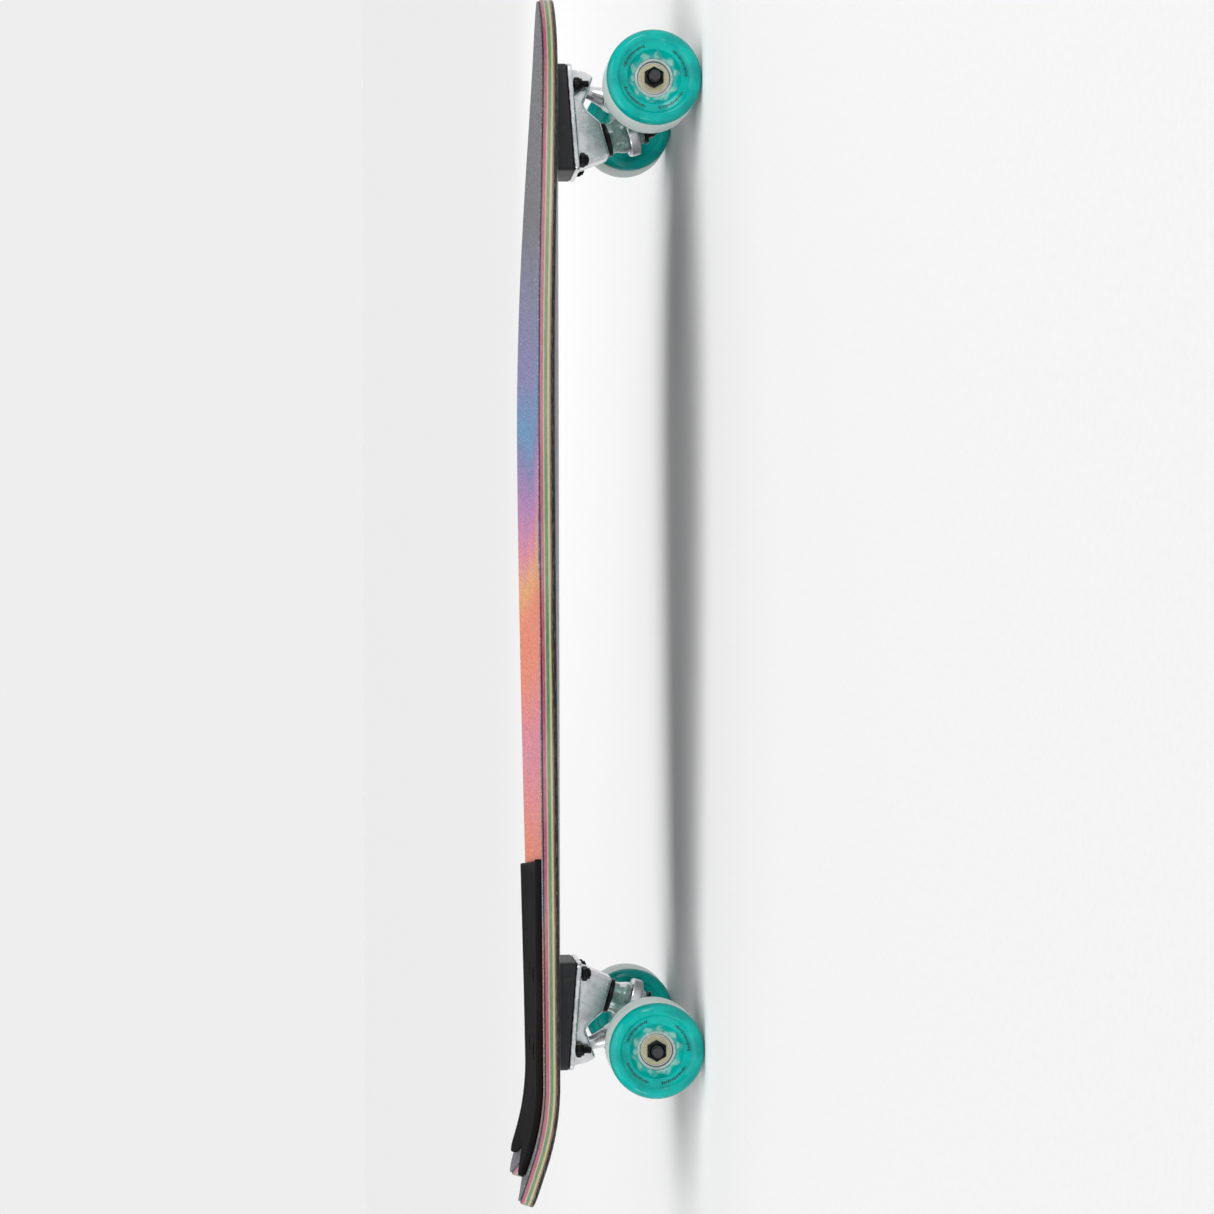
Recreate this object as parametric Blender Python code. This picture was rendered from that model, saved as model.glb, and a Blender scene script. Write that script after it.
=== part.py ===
"""Surf-style cruiser skateboard: a seven-ply deck with a swallow tail, two trucks and four wheels.

+X points to the nose, +Z up, and the board stands on its wheels on Z = 0. The deck's length
and width are centred on the origin. Each truck is drawn in a frame of its own, with its origin
at the middle of its axle, +X outboard (away from the middle of the board) and +Z towards the
deck; the rear truck is the same drawing turned half a turn about Z.
"""
from math import cos, hypot, pi, radians, sin, sqrt, tan

import bmesh
import bpy
from mathutils import Matrix, Vector

# ---- deck -----------------------------------------------------------------------------------
DECK_LENGTH = 0.850          # nose tip to tail tips
DECK_WIDTH = 0.240           # at the widest place
DECK_THICKNESS = 0.0102      # seven plies
NOSE_RUN = 0.300             # nose tip to the widest place
NOSE_ROUNDNESS = 0.66        # 0.5 is a parabola, 1.0 is a sharp point
TAIL_WIDTH = 0.124           # across the two tail tips
TAIL_TAPER = 1.6             # how late the sides draw in towards the tail
TAIL_CORNER = 0.011          # radius of each tail tip
NOTCH_DEPTH = 0.023          # depth of the swallow tail's V
NOTCH_FADE = 0.090           # length over which the rows bend into the V
FLAT_HALF = 0.032            # half width of the level middle, under the trucks
CONCAVE_RISE = 0.0078        # rail above the middle at CONCAVE_AT
CONCAVE_AT = 0.117
KICK_CLEAR = 0.002           # level deck left behind the rear riser pad
KICK_RADIUS = 0.190
KICK_ANGLE = radians(18)
DECK_EDGE = 0.0010           # rounding of the deck's top and bottom edges
GRIP_THICKNESS = 0.0011
GRIP_INSET = 0.0002
PAD_THICKNESS = 0.0048
PAD_EDGE = 0.0012
PAD_GLUE = 0.0006            # pad above the grip tape
PAD_INSET = 0.012            # pad edge to deck edge
PAD_FRONT = 0.181            # pad's near front corner, behind the middle of the deck
PAD_SLANT = 0.017            # the pad's front edge runs back this much across the deck
PAD_HOLE = 0.0062            # radius of the holes over the rear screws

# ---- wheels and bearings --------------------------------------------------------------------
WHEELBASE = 0.658
TRUCKS_FORWARD = 0.020       # middle of the wheelbase, towards the nose from the deck's middle
WHEEL_RADIUS = 0.0325
WHEEL_WIDTH = 0.043
LIP_RADIUS = 0.0280          # raised ring round each face
CORE_RADIUS = 0.0132         # core ring round the bearing
BEARING_RADIUS = 0.0110
BEARING_WIDTH = 0.0070
BEARING_SPACING = 0.0100     # between the two bearings of a wheel
BEARING_BORE = 0.0040
CORE_STEP = 0.0015           # core ring proud of the bearing

# ---- axle and hanger ------------------------------------------------------------------------
AXLE_RADIUS = 0.0040
AXLE_END = 0.0040            # axle past its nut
AXLE_NUT_FLATS = 0.0127
AXLE_NUT_HEIGHT = 0.0062
HANGER_HALF = 0.0800         # axle's shoulder to the middle
WASHER_ROOM = 0.0012         # shoulder to bearing, where a speed washer sits
BARREL_RADIUS = 0.0115
BARREL_END = 0.0078
RING_CENTRE = Vector((-0.0185, 0.0, 0.0060))
RING_RADIUS = 0.0165
RING_HALF = 0.0042
RING_BORE = 0.0068
SEAT_DEPTH = 0.0014          # recess in the ring that holds each bushing
PIVOT_REACH = 0.0476         # ring centre to pivot ball
PIVOT_ANGLE = radians(49.1)  # steering axis above the deck's plane
PIVOT_BALL = 0.0058
STUB_TILT = radians(19)      # pivot stub from square to the deck
STUB_NECK = 0.0045
STUB_ROOT = 0.0072
STUB_LENGTH = 0.0190
WEB_HALF = 0.0072            # half width of the web between the ring, the stub and the barrel
WING_REACH = 0.0580          # how far along the barrel each wing runs
WING_HEIGHT = 0.0052         # wings' middle above the axle
WING_HALF = 0.0033
STEER_LIMIT = radians(15)    # how far the hanger turns each way

# ---- kingpin and bushings -------------------------------------------------------------------
KINGPIN_TILT = radians(16.5)
KINGPIN_RADIUS = 0.00476
KINGPIN_FLATS = 0.0143
KINGPIN_HEAD = 0.0058
KINGPIN_NUT = 0.0072
KINGPIN_TAIL = 0.0022        # kingpin past its nut
BOARD_BUSHING = 0.0122       # height between the ring's face and the washer
BOARD_BUSHING_WIDE = 0.0126
BOARD_BUSHING_SLIM = 0.0108
ROAD_BUSHING = 0.0046
ROAD_BUSHING_WIDE = 0.0108
ROAD_BUSHING_SLIM = 0.0088
BOARD_WASHER_RADIUS = 0.0125
ROAD_WASHER_RADIUS = 0.0106
WASHER_THICKNESS = 0.0022

# ---- baseplate and riser --------------------------------------------------------------------
TRUCK_HEIGHT = 0.0501        # axle to the baseplate's top, at the bolt pattern's middle
PLATE_LENGTH = 0.0760
PLATE_WIDTH = 0.0560
PLATE_THICKNESS = 0.0037
PLATE_CORNER = 0.0055
PLATE_OUTBOARD = 0.0260      # outboard end, from the axle
HUMP_HALF = 0.0128
HUMP_SINK = 0.0016           # the hump's top below the plate's top
HUMP_BOW = 0.0060            # depth of the hollow between the pivot and the kingpin
HOUSING_OUT = 0.0090         # pivot housing, outboard of the pivot's axis
HOUSING_IN = 0.0072
SEAT_TOE = 0.0118            # kingpin seat, outboard of the kingpin's axis
SEAT_HEEL = 0.0132
BOSS_LENGTH = 0.0185
HEAD_COVER = 0.0026          # kingpin head below the plate's top
SEAT_RADIUS = 0.0134         # round boss under the boardside washer
CUP_WALL = 0.0017
CUP_MOUTH = 0.0064           # from the ball's centre to the cup's mouth
RISER_THIN = 0.0070
RISER_THICK = 0.0128
BOLT_LONG = 0.05398          # mounting bolt pattern
BOLT_WIDE = 0.04128
BOLT_MIDDLE = -0.0147        # pattern's middle, from the axle
SCREW_RADIUS = 0.00238
SCREW_HEAD = 0.0048
SCREW_HEAD_HEIGHT = 0.0026
SCREW_TIP = 0.0032           # screw past its nut
MOUNT_NUT_FLATS = 0.0092
MOUNT_NUT_HEIGHT = 0.0058
SPOT_FACE = 0.0064

# ---- fits and drawing -----------------------------------------------------------------------
GAP = 0.0003                 # between pieces that touch
RUN = 0.0005                 # between pieces that turn on each other
FINE, MEDIUM, COARSE = 36, 20, 14     # sides of large, middle and small round pieces
NOSE_ROWS = (0, 0.0015, 0.007, 0.020, 0.045, 0.085, 0.14)       # shares of NOSE_RUN
BODY_ROWS, KICK_ROWS, TAIL_ROWS = 13, 8, 4
SLANT_FADE = 0.1             # length over which the pad's rows turn square
SPREAD = (-1, -0.85, -0.68, -0.5, -0.28, 0, 0.28, 0.5, 0.68, 0.85, 1)     # of the half width

WEDGE = (RISER_THICK - RISER_THIN) / PLATE_LENGTH       # slope of the riser
PLATE_MIDDLE = PLATE_OUTBOARD - PLATE_LENGTH / 2
KINGPIN_UP = Vector((-sin(KINGPIN_TILT), 0, cos(KINGPIN_TILT)))
PIVOT_AXIS = Vector((cos(PIVOT_ANGLE), 0, sin(PIVOT_ANGLE)))
PIVOT_CENTRE = RING_CENTRE + PIVOT_REACH * PIVOT_AXIS
STUB_DOWN = Vector((-sin(STUB_TILT), 0, -cos(STUB_TILT)))
BOARD_SEAT = RING_HALF + GAP + BOARD_BUSHING + GAP + WASHER_THICKNESS + GAP
ROAD_SEAT = RING_HALF + GAP + ROAD_BUSHING + GAP + WASHER_THICKNESS + GAP
WHEEL_MIDDLE = HANGER_HALF + WASHER_ROOM + BEARING_WIDTH + BEARING_SPACING / 2
BEARING_OFFSET = (BEARING_SPACING + BEARING_WIDTH) / 2
NUT_SEAT = WHEEL_MIDDLE + BEARING_OFFSET + BEARING_WIDTH / 2 + WASHER_ROOM


def plate_top(x):
    """Height of the baseplate's sloping top face above the axle."""
    return TRUCK_HEIGHT + WEDGE * (x - BOLT_MIDDLE)


DECK_BOTTOM = WHEEL_RADIUS + plate_top(PLATE_OUTBOARD) + GAP + RISER_THIN + GAP
TRUCKS = {"front": TRUCKS_FORWARD + WHEELBASE / 2, "rear": TRUCKS_FORWARD - WHEELBASE / 2}
KICK_START = TRUCKS["rear"] - PLATE_OUTBOARD - KICK_CLEAR
GRIP_LIFT = DECK_THICKNESS + GAP
PAD_LIFT = GRIP_LIFT + GRIP_THICKNESS + PAD_GLUE


# ---- drawing helpers ------------------------------------------------------------------------
def clear_scene():
    """Start from an empty file."""
    for old in list(bpy.data.objects):
        bpy.data.objects.remove(old)


def finish(name, colour, roughness, metallic=0.0):
    """A plain Principled material."""
    mat = bpy.data.materials.new(name)
    mat.use_nodes = True
    shader = mat.node_tree.nodes["Principled BSDF"]
    shader.inputs["Base Color"].default_value = (*colour, 1.0)
    shader.inputs["Roughness"].default_value = roughness
    shader.inputs["Metallic"].default_value = metallic
    mat.diffuse_color = (*colour, 1.0)
    return mat


def guide(name, parent=None, location=(0, 0, 0), turn=0.0):
    """An empty that carries pieces."""
    empty = bpy.data.objects.new(name, None)
    bpy.context.collection.objects.link(empty)
    empty.parent = parent
    empty.location = location
    empty.rotation_euler = (0, 0, turn)
    return empty


def piece(name, bm, mat=None, parent=None, origin=(0, 0, 0), crease=35):
    """Make an object of a bmesh drawn in the parent's frame, with its own origin."""
    bmesh.ops.recalc_face_normals(bm, faces=bm.faces)
    bmesh.ops.translate(bm, verts=bm.verts, vec=-Vector(origin))
    mesh = bpy.data.meshes.new(name)
    bm.to_mesh(mesh)
    bm.free()
    mesh.shade_smooth()
    mesh.set_sharp_from_angle(angle=radians(crease))
    obj = bpy.data.objects.new(name, mesh)
    bpy.context.collection.objects.link(obj)
    obj.parent = parent
    obj.location = origin
    if mat:
        mesh.materials.append(mat)
    return obj


def tool(name, bm, parent=None, origin=(0, 0, 0)):
    """A hidden solid for a Boolean modifier to join or cut with."""
    obj = piece(name, bm, parent=parent, origin=origin)
    obj.hide_render = True
    obj.display_type = "WIRE"
    return obj


def combine(obj, other, operation="DIFFERENCE"):
    """Cut one solid with another, or join them.

    The manifold solver is used because the exact one leaves open seams on the castings.
    """
    mod = obj.modifiers.new(operation.title(), "BOOLEAN")
    mod.operation = operation
    mod.object = other
    mod.solver = "MANIFOLD"


def soften(obj, width, segments=2, angle=40):
    """Round an object's sharp edges."""
    mod = obj.modifiers.new("Rounding", "BEVEL")
    mod.width = width
    mod.segments = segments
    mod.limit_method = "ANGLE"
    mod.angle_limit = radians(angle)


def along(point, direction):
    """Matrix that stands a piece drawn along +Z at a point, pointing in a direction."""
    turn = Vector(direction).to_track_quat("Z", "Y").to_matrix().to_4x4()
    return Matrix.Translation(Vector(point)) @ turn


def turned(profile, sides, place=Matrix()):
    """Body of revolution about Z from a closed run of (radius, height) points."""
    bm = bmesh.new()
    rings = []
    for radius, height in profile:
        if radius == 0:
            rings.append([bm.verts.new((0, 0, height))] * sides)
            continue
        angles = [2 * pi * i / sides for i in range(sides)]
        rings.append([bm.verts.new((radius * cos(a), radius * sin(a), height)) for a in angles])
    count = len(rings)
    for i in range(count):
        near, far = rings[i], rings[(i + 1) % count]
        if near[0] is near[1] and far[0] is far[1]:
            continue
        for j in range(sides):
            k = (j + 1) % sides
            corners = list(dict.fromkeys((near[j], near[k], far[k], far[j])))
            bm.faces.new(corners)
    bm.transform(place)
    return bm


def rod(radius, low, high, sides, place=Matrix(), chamfer=0.0):
    """Round bar between two heights, with its top edge broken by a chamfer."""
    top = [(radius - chamfer, high), (radius, high - chamfer)] if chamfer else [(radius, high)]
    return turned([(0, high), *top, (radius, low), (0, low)], sides, place)


def washer(outer, inner, low, high, sides, place=Matrix()):
    """Flat ring between two heights."""
    return turned([(outer, high), (outer, low), (inner, low), (inner, high)], sides, place)


def wedge(outline, floor_height, roof_height):
    """Upright solid of a flat outline whose floor and roof heights are functions of x."""
    bm = bmesh.new()
    floor = [bm.verts.new((x, y, floor_height(x))) for x, y in outline]
    roof = [bm.verts.new((x, y, roof_height(x))) for x, y in outline]
    bm.faces.new(reversed(floor))
    bm.faces.new(roof)
    for i in range(len(outline)):
        k = (i + 1) % len(outline)
        bm.faces.new((floor[i], floor[k], roof[k], roof[i]))
    return bm


def prism(outline, low, high, place=Matrix()):
    """Straight extrusion along Z of a flat outline of (x, y) points."""
    bm = wedge(outline, lambda x: low, lambda x: high)
    bm.transform(place)
    return bm


def hexagon(flats):
    """Corner points of a hexagon of this width across its flats."""
    corner = flats / 2 / cos(pi / 6)
    return [(corner * cos(pi / 3 * i), corner * sin(pi / 3 * i)) for i in range(6)]


def hex_nut(flats, bore, low, high, place=Matrix()):
    """Hexagonal nut with a through bore and a short round collar at its far end."""
    collar = (high - low) * 0.28
    bm = bmesh.new()
    shape = hexagon(flats)
    bands = [(low, None), (high - collar, None), (high - collar, flats * 0.43), (high, flats * 0.40)]
    outer = []
    for height, radius in bands:
        ring = []
        for i in range(12):
            if radius is None:
                x, y = shape[i // 2]
                if i % 2:
                    nx, ny = shape[(i // 2 + 1) % 6]
                    x, y = (x + nx) / 2, (y + ny) / 2
            else:
                x, y = radius * cos(pi / 6 * i), radius * sin(pi / 6 * i)
            ring.append(bm.verts.new((x, y, height)))
        outer.append(ring)
    inner = []
    for height in (high, low):
        ring = [(bore * cos(pi / 6 * i), bore * sin(pi / 6 * i), height) for i in range(12)]
        inner.append([bm.verts.new(point) for point in ring])
    rings = outer + inner
    for i in range(len(rings)):
        near, far = rings[i], rings[(i + 1) % len(rings)]
        for j in range(12):
            k = (j + 1) % 12
            bm.faces.new((near[j], near[k], far[k], far[j]))
    bm.transform(place)
    return bm


def rounded_rectangle(length, width, corner, middle=0.0, steps=4):
    """Outline of a rectangle with round corners, its middle at (middle, 0)."""
    points = []
    for quarter, (sx, sy) in enumerate(((1, 1), (-1, 1), (-1, -1), (1, -1))):
        cx = middle + sx * (length / 2 - corner)
        cy = sy * (width / 2 - corner)
        for i in range(steps + 1):
            angle = pi / 2 * (quarter + i / steps)
            points.append((cx + corner * cos(angle), cy + corner * sin(angle)))
    return points


# ---- the deck's shape -----------------------------------------------------------------------
def side_curve(x):
    """Half width of the deck at x, before its tail corners are rounded."""
    widest = DECK_LENGTH / 2 - NOSE_RUN
    if x >= widest:
        run = min((DECK_LENGTH / 2 - x) / NOSE_RUN, 1.0)
        return DECK_WIDTH / 2 * (1 - (1 - run) ** 2) ** NOSE_ROUNDNESS
    run = (widest - x) / (widest + DECK_LENGTH / 2)
    return DECK_WIDTH / 2 - (DECK_WIDTH - TAIL_WIDTH) / 2 * run ** TAIL_TAPER


def half_width(x, inset=0.0):
    """Half width of the outline at x, drawn in by an inset, with round tail corners."""
    side = side_curve(x * DECK_LENGTH / (DECK_LENGTH - 2 * inset))
    half = side - inset * min(1.0, side / (DECK_WIDTH / 4))
    past = TAIL_CORNER - (x + DECK_LENGTH / 2 - inset)
    if past > 0:
        half -= TAIL_CORNER - sqrt(max(TAIL_CORNER ** 2 - past ** 2, 0.0))
    return half


def surface_height(x, y):
    """Height of the deck's underside: level middle, raised rails and a kicked tail."""
    rail = max(abs(y) - FLAT_HALF, 0.0)
    rise = CONCAVE_RISE * (rail / (CONCAVE_AT - FLAT_HALF)) ** 2
    run = KICK_START - x
    if run > 0:
        arc = KICK_RADIUS * sin(KICK_ANGLE)
        if run < arc:
            rise += KICK_RADIUS - sqrt(KICK_RADIUS ** 2 - run ** 2)
        else:
            rise += KICK_RADIUS * (1 - cos(KICK_ANGLE)) + (run - arc) * tan(KICK_ANGLE)
    return DECK_BOTTOM + rise


def deck_point(x, y, lift):
    """Point above (x, y) on the underside, lifted square to the deck."""
    step = 0.0005
    slope_x = (surface_height(x + step, y) - surface_height(x - step, y)) / (2 * step)
    slope_y = (surface_height(x, y + step) - surface_height(x, y - step)) / (2 * step)
    up = Vector((-slope_x, -slope_y, 1)).normalized()
    return Vector((x, y, surface_height(x, y))) + lift * up


def notch(x, y, inset):
    """How far forward the swallow tail's V carries a point."""
    fade = max(0.0, 1 - (x + DECK_LENGTH / 2 - inset) / NOTCH_FADE)
    tip = TAIL_WIDTH / 2 - TAIL_CORNER
    return NOTCH_DEPTH * fade ** 2 * max(0.0, 1 - hypot(y, 0.002) / tip)


def stations(start, end):
    """Rows of a sheet from front to back, closer together at a pointed nose and at the tail."""
    tail = end + TAIL_CORNER
    rows = [start - NOSE_RUN * share for share in NOSE_ROWS] if start > 0 else [start]
    first = rows[-1]
    count = round(BODY_ROWS * (first - KICK_START) / DECK_LENGTH) + 1
    rows += [first + (KICK_START - first) * i / count for i in range(1, count)]
    rows += [KICK_START + (tail - KICK_START) * i / KICK_ROWS for i in range(KICK_ROWS)]
    rows += [end + TAIL_CORNER * (1 - sin(pi / 2 * i / TAIL_ROWS)) for i in range(TAIL_ROWS + 1)]
    return rows


def sheet(low, high, inset=0.0, edge=0.0, front=None, slant=0.0):
    """Closed sheet that follows the deck between two lifts, with its rim's edges broken."""
    bm = bmesh.new()
    layers = []
    levels = ((low, edge), (low + edge, 0), (high - edge, 0), (high, edge))
    for lift, drawn_in in levels if edge else ((low, 0), (high, 0)):
        around = inset + drawn_in
        start = DECK_LENGTH / 2 - around if front is None else front - drawn_in
        grid = []
        for row, x in enumerate(stations(start, around - DECK_LENGTH / 2)):
            half = half_width(x, around)
            if front is None and row == 0:
                grid.append([bm.verts.new(deck_point(x, 0, lift))] * len(SPREAD))
                continue
            line = []
            for share in SPREAD:
                y = half * share
                skew = slant * max(0.0, 1 - (start - x) / SLANT_FADE) * (share + 1) / 2
                line.append(bm.verts.new(deck_point(x + notch(x, y, around) - skew, y, lift)))
            grid.append(line)
        layers.append(grid)

    def face(*corners):
        ring = list(dict.fromkeys(corners))
        if len(ring) > 2:
            bm.faces.new(ring)

    floor, roof = layers[0], layers[-1]
    last = len(SPREAD) - 1
    for i in range(len(floor) - 1):
        for j in range(last):
            face(roof[i][j], roof[i + 1][j], roof[i + 1][j + 1], roof[i][j + 1])
            face(floor[i][j], floor[i][j + 1], floor[i + 1][j + 1], floor[i + 1][j])
    loops = [rim(grid) for grid in layers]
    for under, over in zip(loops, loops[1:]):
        for i in range(len(under)):
            k = (i + 1) % len(under)
            face(under[i], under[k], over[k], over[i])
    inner = [v for grid in layers[1:-1] for line in grid for v in line if not v.link_faces]
    bmesh.ops.delete(bm, geom=list(dict.fromkeys(inner)), context="VERTS")
    return bm


def rim(grid):
    """The vertices round the edge of a grid of rows, in order."""
    right = [line[-1] for line in grid]
    left = [line[0] for line in reversed(grid)]
    front = grid[0][1:-1] if grid[0][0] is not grid[0][-1] else []
    loop = right + list(reversed(grid[-1][1:-1])) + left + list(front)
    return list(dict.fromkeys(loop))


# ---- mounting hardware ----------------------------------------------------------------------
def bolt_places():
    """The four bolt places of a truck, in its own frame."""
    return [(BOLT_MIDDLE + sx * BOLT_LONG / 2, sy * BOLT_WIDE / 2)
            for sx in (1, -1) for sy in (1, -1)]


def board_place(truck, x, y):
    """A truck's (x, y) in the board's frame."""
    side = 1 if truck == "front" else -1
    return TRUCKS[truck] + side * x, side * y


def drill(obj, profile, trucks):
    """Cut a turned hole at every bolt place of the named trucks."""
    for truck in trucks:
        for i, (x, y) in enumerate(bolt_places()):
            place = Matrix.Translation((*board_place(truck, x, y), 0))
            combine(obj, tool(f"{obj.name}_hole_{truck}_{i}", turned(profile, COARSE, place)))


def build_deck(mats):
    """Deck, grip tape and tail pad."""
    deck = piece("deck", sheet(0, DECK_THICKNESS, 0, DECK_EDGE), mats["maple"])
    below, above = DECK_BOTTOM - 0.01, DECK_BOTTOM + 0.04
    shank, head = SCREW_RADIUS + GAP, SCREW_HEAD + GAP
    sink = DECK_BOTTOM + GRIP_LIFT + GRIP_THICKNESS - SCREW_HEAD_HEIGHT - GAP
    drill(deck, [(0, above), (head, above), (head, sink), (shank, sink), (shank, below), (0, below)],
          TRUCKS)
    layer = sheet(GRIP_LIFT, GRIP_LIFT + GRIP_THICKNESS, DECK_EDGE + GRIP_INSET)
    grip = piece("grip_tape", layer, mats["grip"])
    drill(grip, [(0, above), (head, above), (head, below), (0, below)], TRUCKS)
    layer = sheet(PAD_LIFT, PAD_LIFT + PAD_THICKNESS, PAD_INSET, PAD_EDGE, -PAD_FRONT, PAD_SLANT)
    pad = piece("tail_pad", layer, mats["eva"])
    drill(pad, [(0, above), (PAD_HOLE, above), (PAD_HOLE, below), (0, below)], ["rear"])


def build_mounting(truck, frame, mats):
    """The four screws and lock nuts that hold a truck on."""
    head_top = DECK_BOTTOM + GRIP_LIFT + GRIP_THICKNESS - WHEEL_RADIUS
    for i, (x, y) in enumerate(bolt_places(), 1):
        seat = nut_seat(x)
        low = seat - GAP - MOUNT_NUT_HEIGHT - SCREW_TIP
        shoulder = head_top - SCREW_HEAD_HEIGHT
        profile = [(0, head_top), (SCREW_HEAD, head_top), (SCREW_HEAD, shoulder),
                   (SCREW_RADIUS, shoulder), (SCREW_RADIUS, low), (0, low)]
        place = Matrix.Translation((x, y, 0))
        piece(f"{truck}_mounting_screw_{i}", turned(profile, 12, place), mats["black_steel"],
              frame, (x, y, 0))
        down = along((x, y, seat - GAP), (0, 0, -1))
        piece(f"{truck}_mounting_nut_{i}",
              hex_nut(MOUNT_NUT_FLATS, SCREW_RADIUS + GAP, 0, MOUNT_NUT_HEIGHT, down),
              mats["black_steel"], frame, (x, y, seat))


def nut_seat(x):
    """Height of the level spot face that a mounting nut seats on."""
    return plate_top(x - SPOT_FACE) - PLATE_THICKNESS


# ---- truck ----------------------------------------------------------------------------------
def build_riser(truck, frame, mats):
    """Wedge between the baseplate and the deck."""
    outline = rounded_rectangle(PLATE_LENGTH, PLATE_WIDTH, PLATE_CORNER, PLATE_MIDDLE)
    roof = DECK_BOTTOM - WHEEL_RADIUS - GAP
    bm = wedge(outline, lambda x: plate_top(x) + GAP, lambda x: roof)
    riser = piece(f"{truck}_riser_pad", bm, mats["riser"], frame)
    for i, (x, y) in enumerate(bolt_places()):
        place = Matrix.Translation((x, y, 0))
        hole = rod(SCREW_RADIUS + GAP, 0.03, roof + 0.01, COARSE, place)
        combine(riser, tool(f"{truck}_riser_hole_{i}", hole, frame))


def build_baseplate(truck, frame, mats):
    """Cast baseplate: sloping plate, pivot housing, kingpin boss and their bores."""
    outline = rounded_rectangle(PLATE_LENGTH, PLATE_WIDTH, PLATE_CORNER, PLATE_MIDDLE)
    bm = wedge(outline, lambda x: plate_top(x) - PLATE_THICKNESS, plate_top)
    plate = piece(f"{truck}_baseplate", bm, mats["aluminium"], frame)

    # Side view of the hump: pivot housing outboard, a hollow curve, then the kingpin's seat.
    mouth = PIVOT_CENTRE + CUP_MOUTH * STUB_DOWN
    across = Vector((cos(STUB_TILT), 0, -sin(STUB_TILT)))
    nose = mouth + HOUSING_OUT * across
    heel = mouth - HOUSING_IN * across
    seat = RING_CENTRE + BOARD_SEAT * KINGPIN_UP
    level = Vector((cos(KINGPIN_TILT), 0, sin(KINGPIN_TILT)))
    toe = seat + SEAT_TOE * level
    back = seat - SEAT_HEEL * level

    def under(x):
        return x, plate_top(x) - HUMP_SINK

    shape = [under(PLATE_OUTBOARD - 0.0010), (nose.x + 0.0035, nose.z + 0.0062), (nose.x, nose.z),
             (heel.x, heel.z)]
    for i in range(1, 6):
        share = i / 6
        bow = HUMP_BOW * sin(pi * share)
        point = heel.lerp(toe, share)
        shape.append((point.x + bow * 0.35, point.z + bow))
    shape += [(toe.x, toe.z), (back.x, back.z), under(PLATE_OUTBOARD - PLATE_LENGTH + 0.0030)]
    side_on = Matrix.Rotation(pi / 2, 4, "X")
    hump = tool(f"{truck}_hump", prism(shape, -HUMP_HALF, HUMP_HALF, side_on), frame)
    soften(hump, 0.0012, 1, 50)
    combine(plate, hump, "UNION")
    boss = rod(SEAT_RADIUS, BOARD_SEAT, BOARD_SEAT + BOSS_LENGTH, MEDIUM,
               along(RING_CENTRE, KINGPIN_UP))
    combine(plate, tool(f"{truck}_boss", boss, frame), "UNION")

    pivot_bore = turned([(0, PIVOT_BALL + RUN + CUP_WALL + GAP),
                         (cup_outer() + GAP, PIVOT_BALL * 0.75 + CUP_WALL),
                         (cup_outer() + GAP, -CUP_MOUTH - 0.01), (0, -CUP_MOUTH - 0.01)],
                        MEDIUM, along(PIVOT_CENTRE, -STUB_DOWN))
    combine(plate, tool(f"{truck}_pivot_bore", pivot_bore, frame))
    kingpin_bore = rod(KINGPIN_RADIUS + GAP, 0, 0.08, COARSE, along(RING_CENTRE, KINGPIN_UP))
    combine(plate, tool(f"{truck}_kingpin_bore", kingpin_bore, frame))
    pocket_radius = KINGPIN_FLATS / 2 / cos(pi / 6) + GAP
    pocket = rod(pocket_radius, head_seat(), head_seat() + 0.02, MEDIUM,
                 along(RING_CENTRE, KINGPIN_UP))
    combine(plate, tool(f"{truck}_kingpin_pocket", pocket, frame))
    for i, (x, y) in enumerate(bolt_places()):
        place = Matrix.Translation((x, y, 0))
        hole = rod(SCREW_RADIUS + GAP, 0.03, 0.07, COARSE, place)
        combine(plate, tool(f"{truck}_plate_hole_{i}", hole, frame))
        spot = rod(SPOT_FACE, 0.03, nut_seat(x), COARSE, place)
        combine(plate, tool(f"{truck}_spot_face_{i}", spot, frame))


def cup_outer():
    """Outer radius of the pivot cup."""
    return PIVOT_BALL + RUN + CUP_WALL


def head_seat():
    """Distance of the kingpin head's seat above the ring's centre, along the kingpin."""
    rise = TRUCK_HEIGHT - RING_CENTRE.z
    top = plate_top(RING_CENTRE.x + rise * KINGPIN_UP.x / KINGPIN_UP.z) - RING_CENTRE.z
    return top / KINGPIN_UP.z - KINGPIN_HEAD - HEAD_COVER


def build_pivot_cup(truck, frame, mats):
    """Urethane cup that the hanger's pivot ball turns in."""
    inner, outer = PIVOT_BALL + RUN, cup_outer()
    profile = [(0, outer), (outer * 0.55, outer * 0.86), (outer, PIVOT_BALL * 0.6),
               (outer, -CUP_MOUTH), (inner, -CUP_MOUTH)]
    for i in range(7):
        angle = pi / 2 * i / 6
        profile.append((inner * cos(angle), inner * sin(angle)))
    profile[-1] = (0, inner)
    bm = turned(profile, MEDIUM, along(PIVOT_CENTRE, -STUB_DOWN))
    piece(f"{truck}_pivot_cup", bm, mats["cup"], frame, PIVOT_CENTRE)


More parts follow.
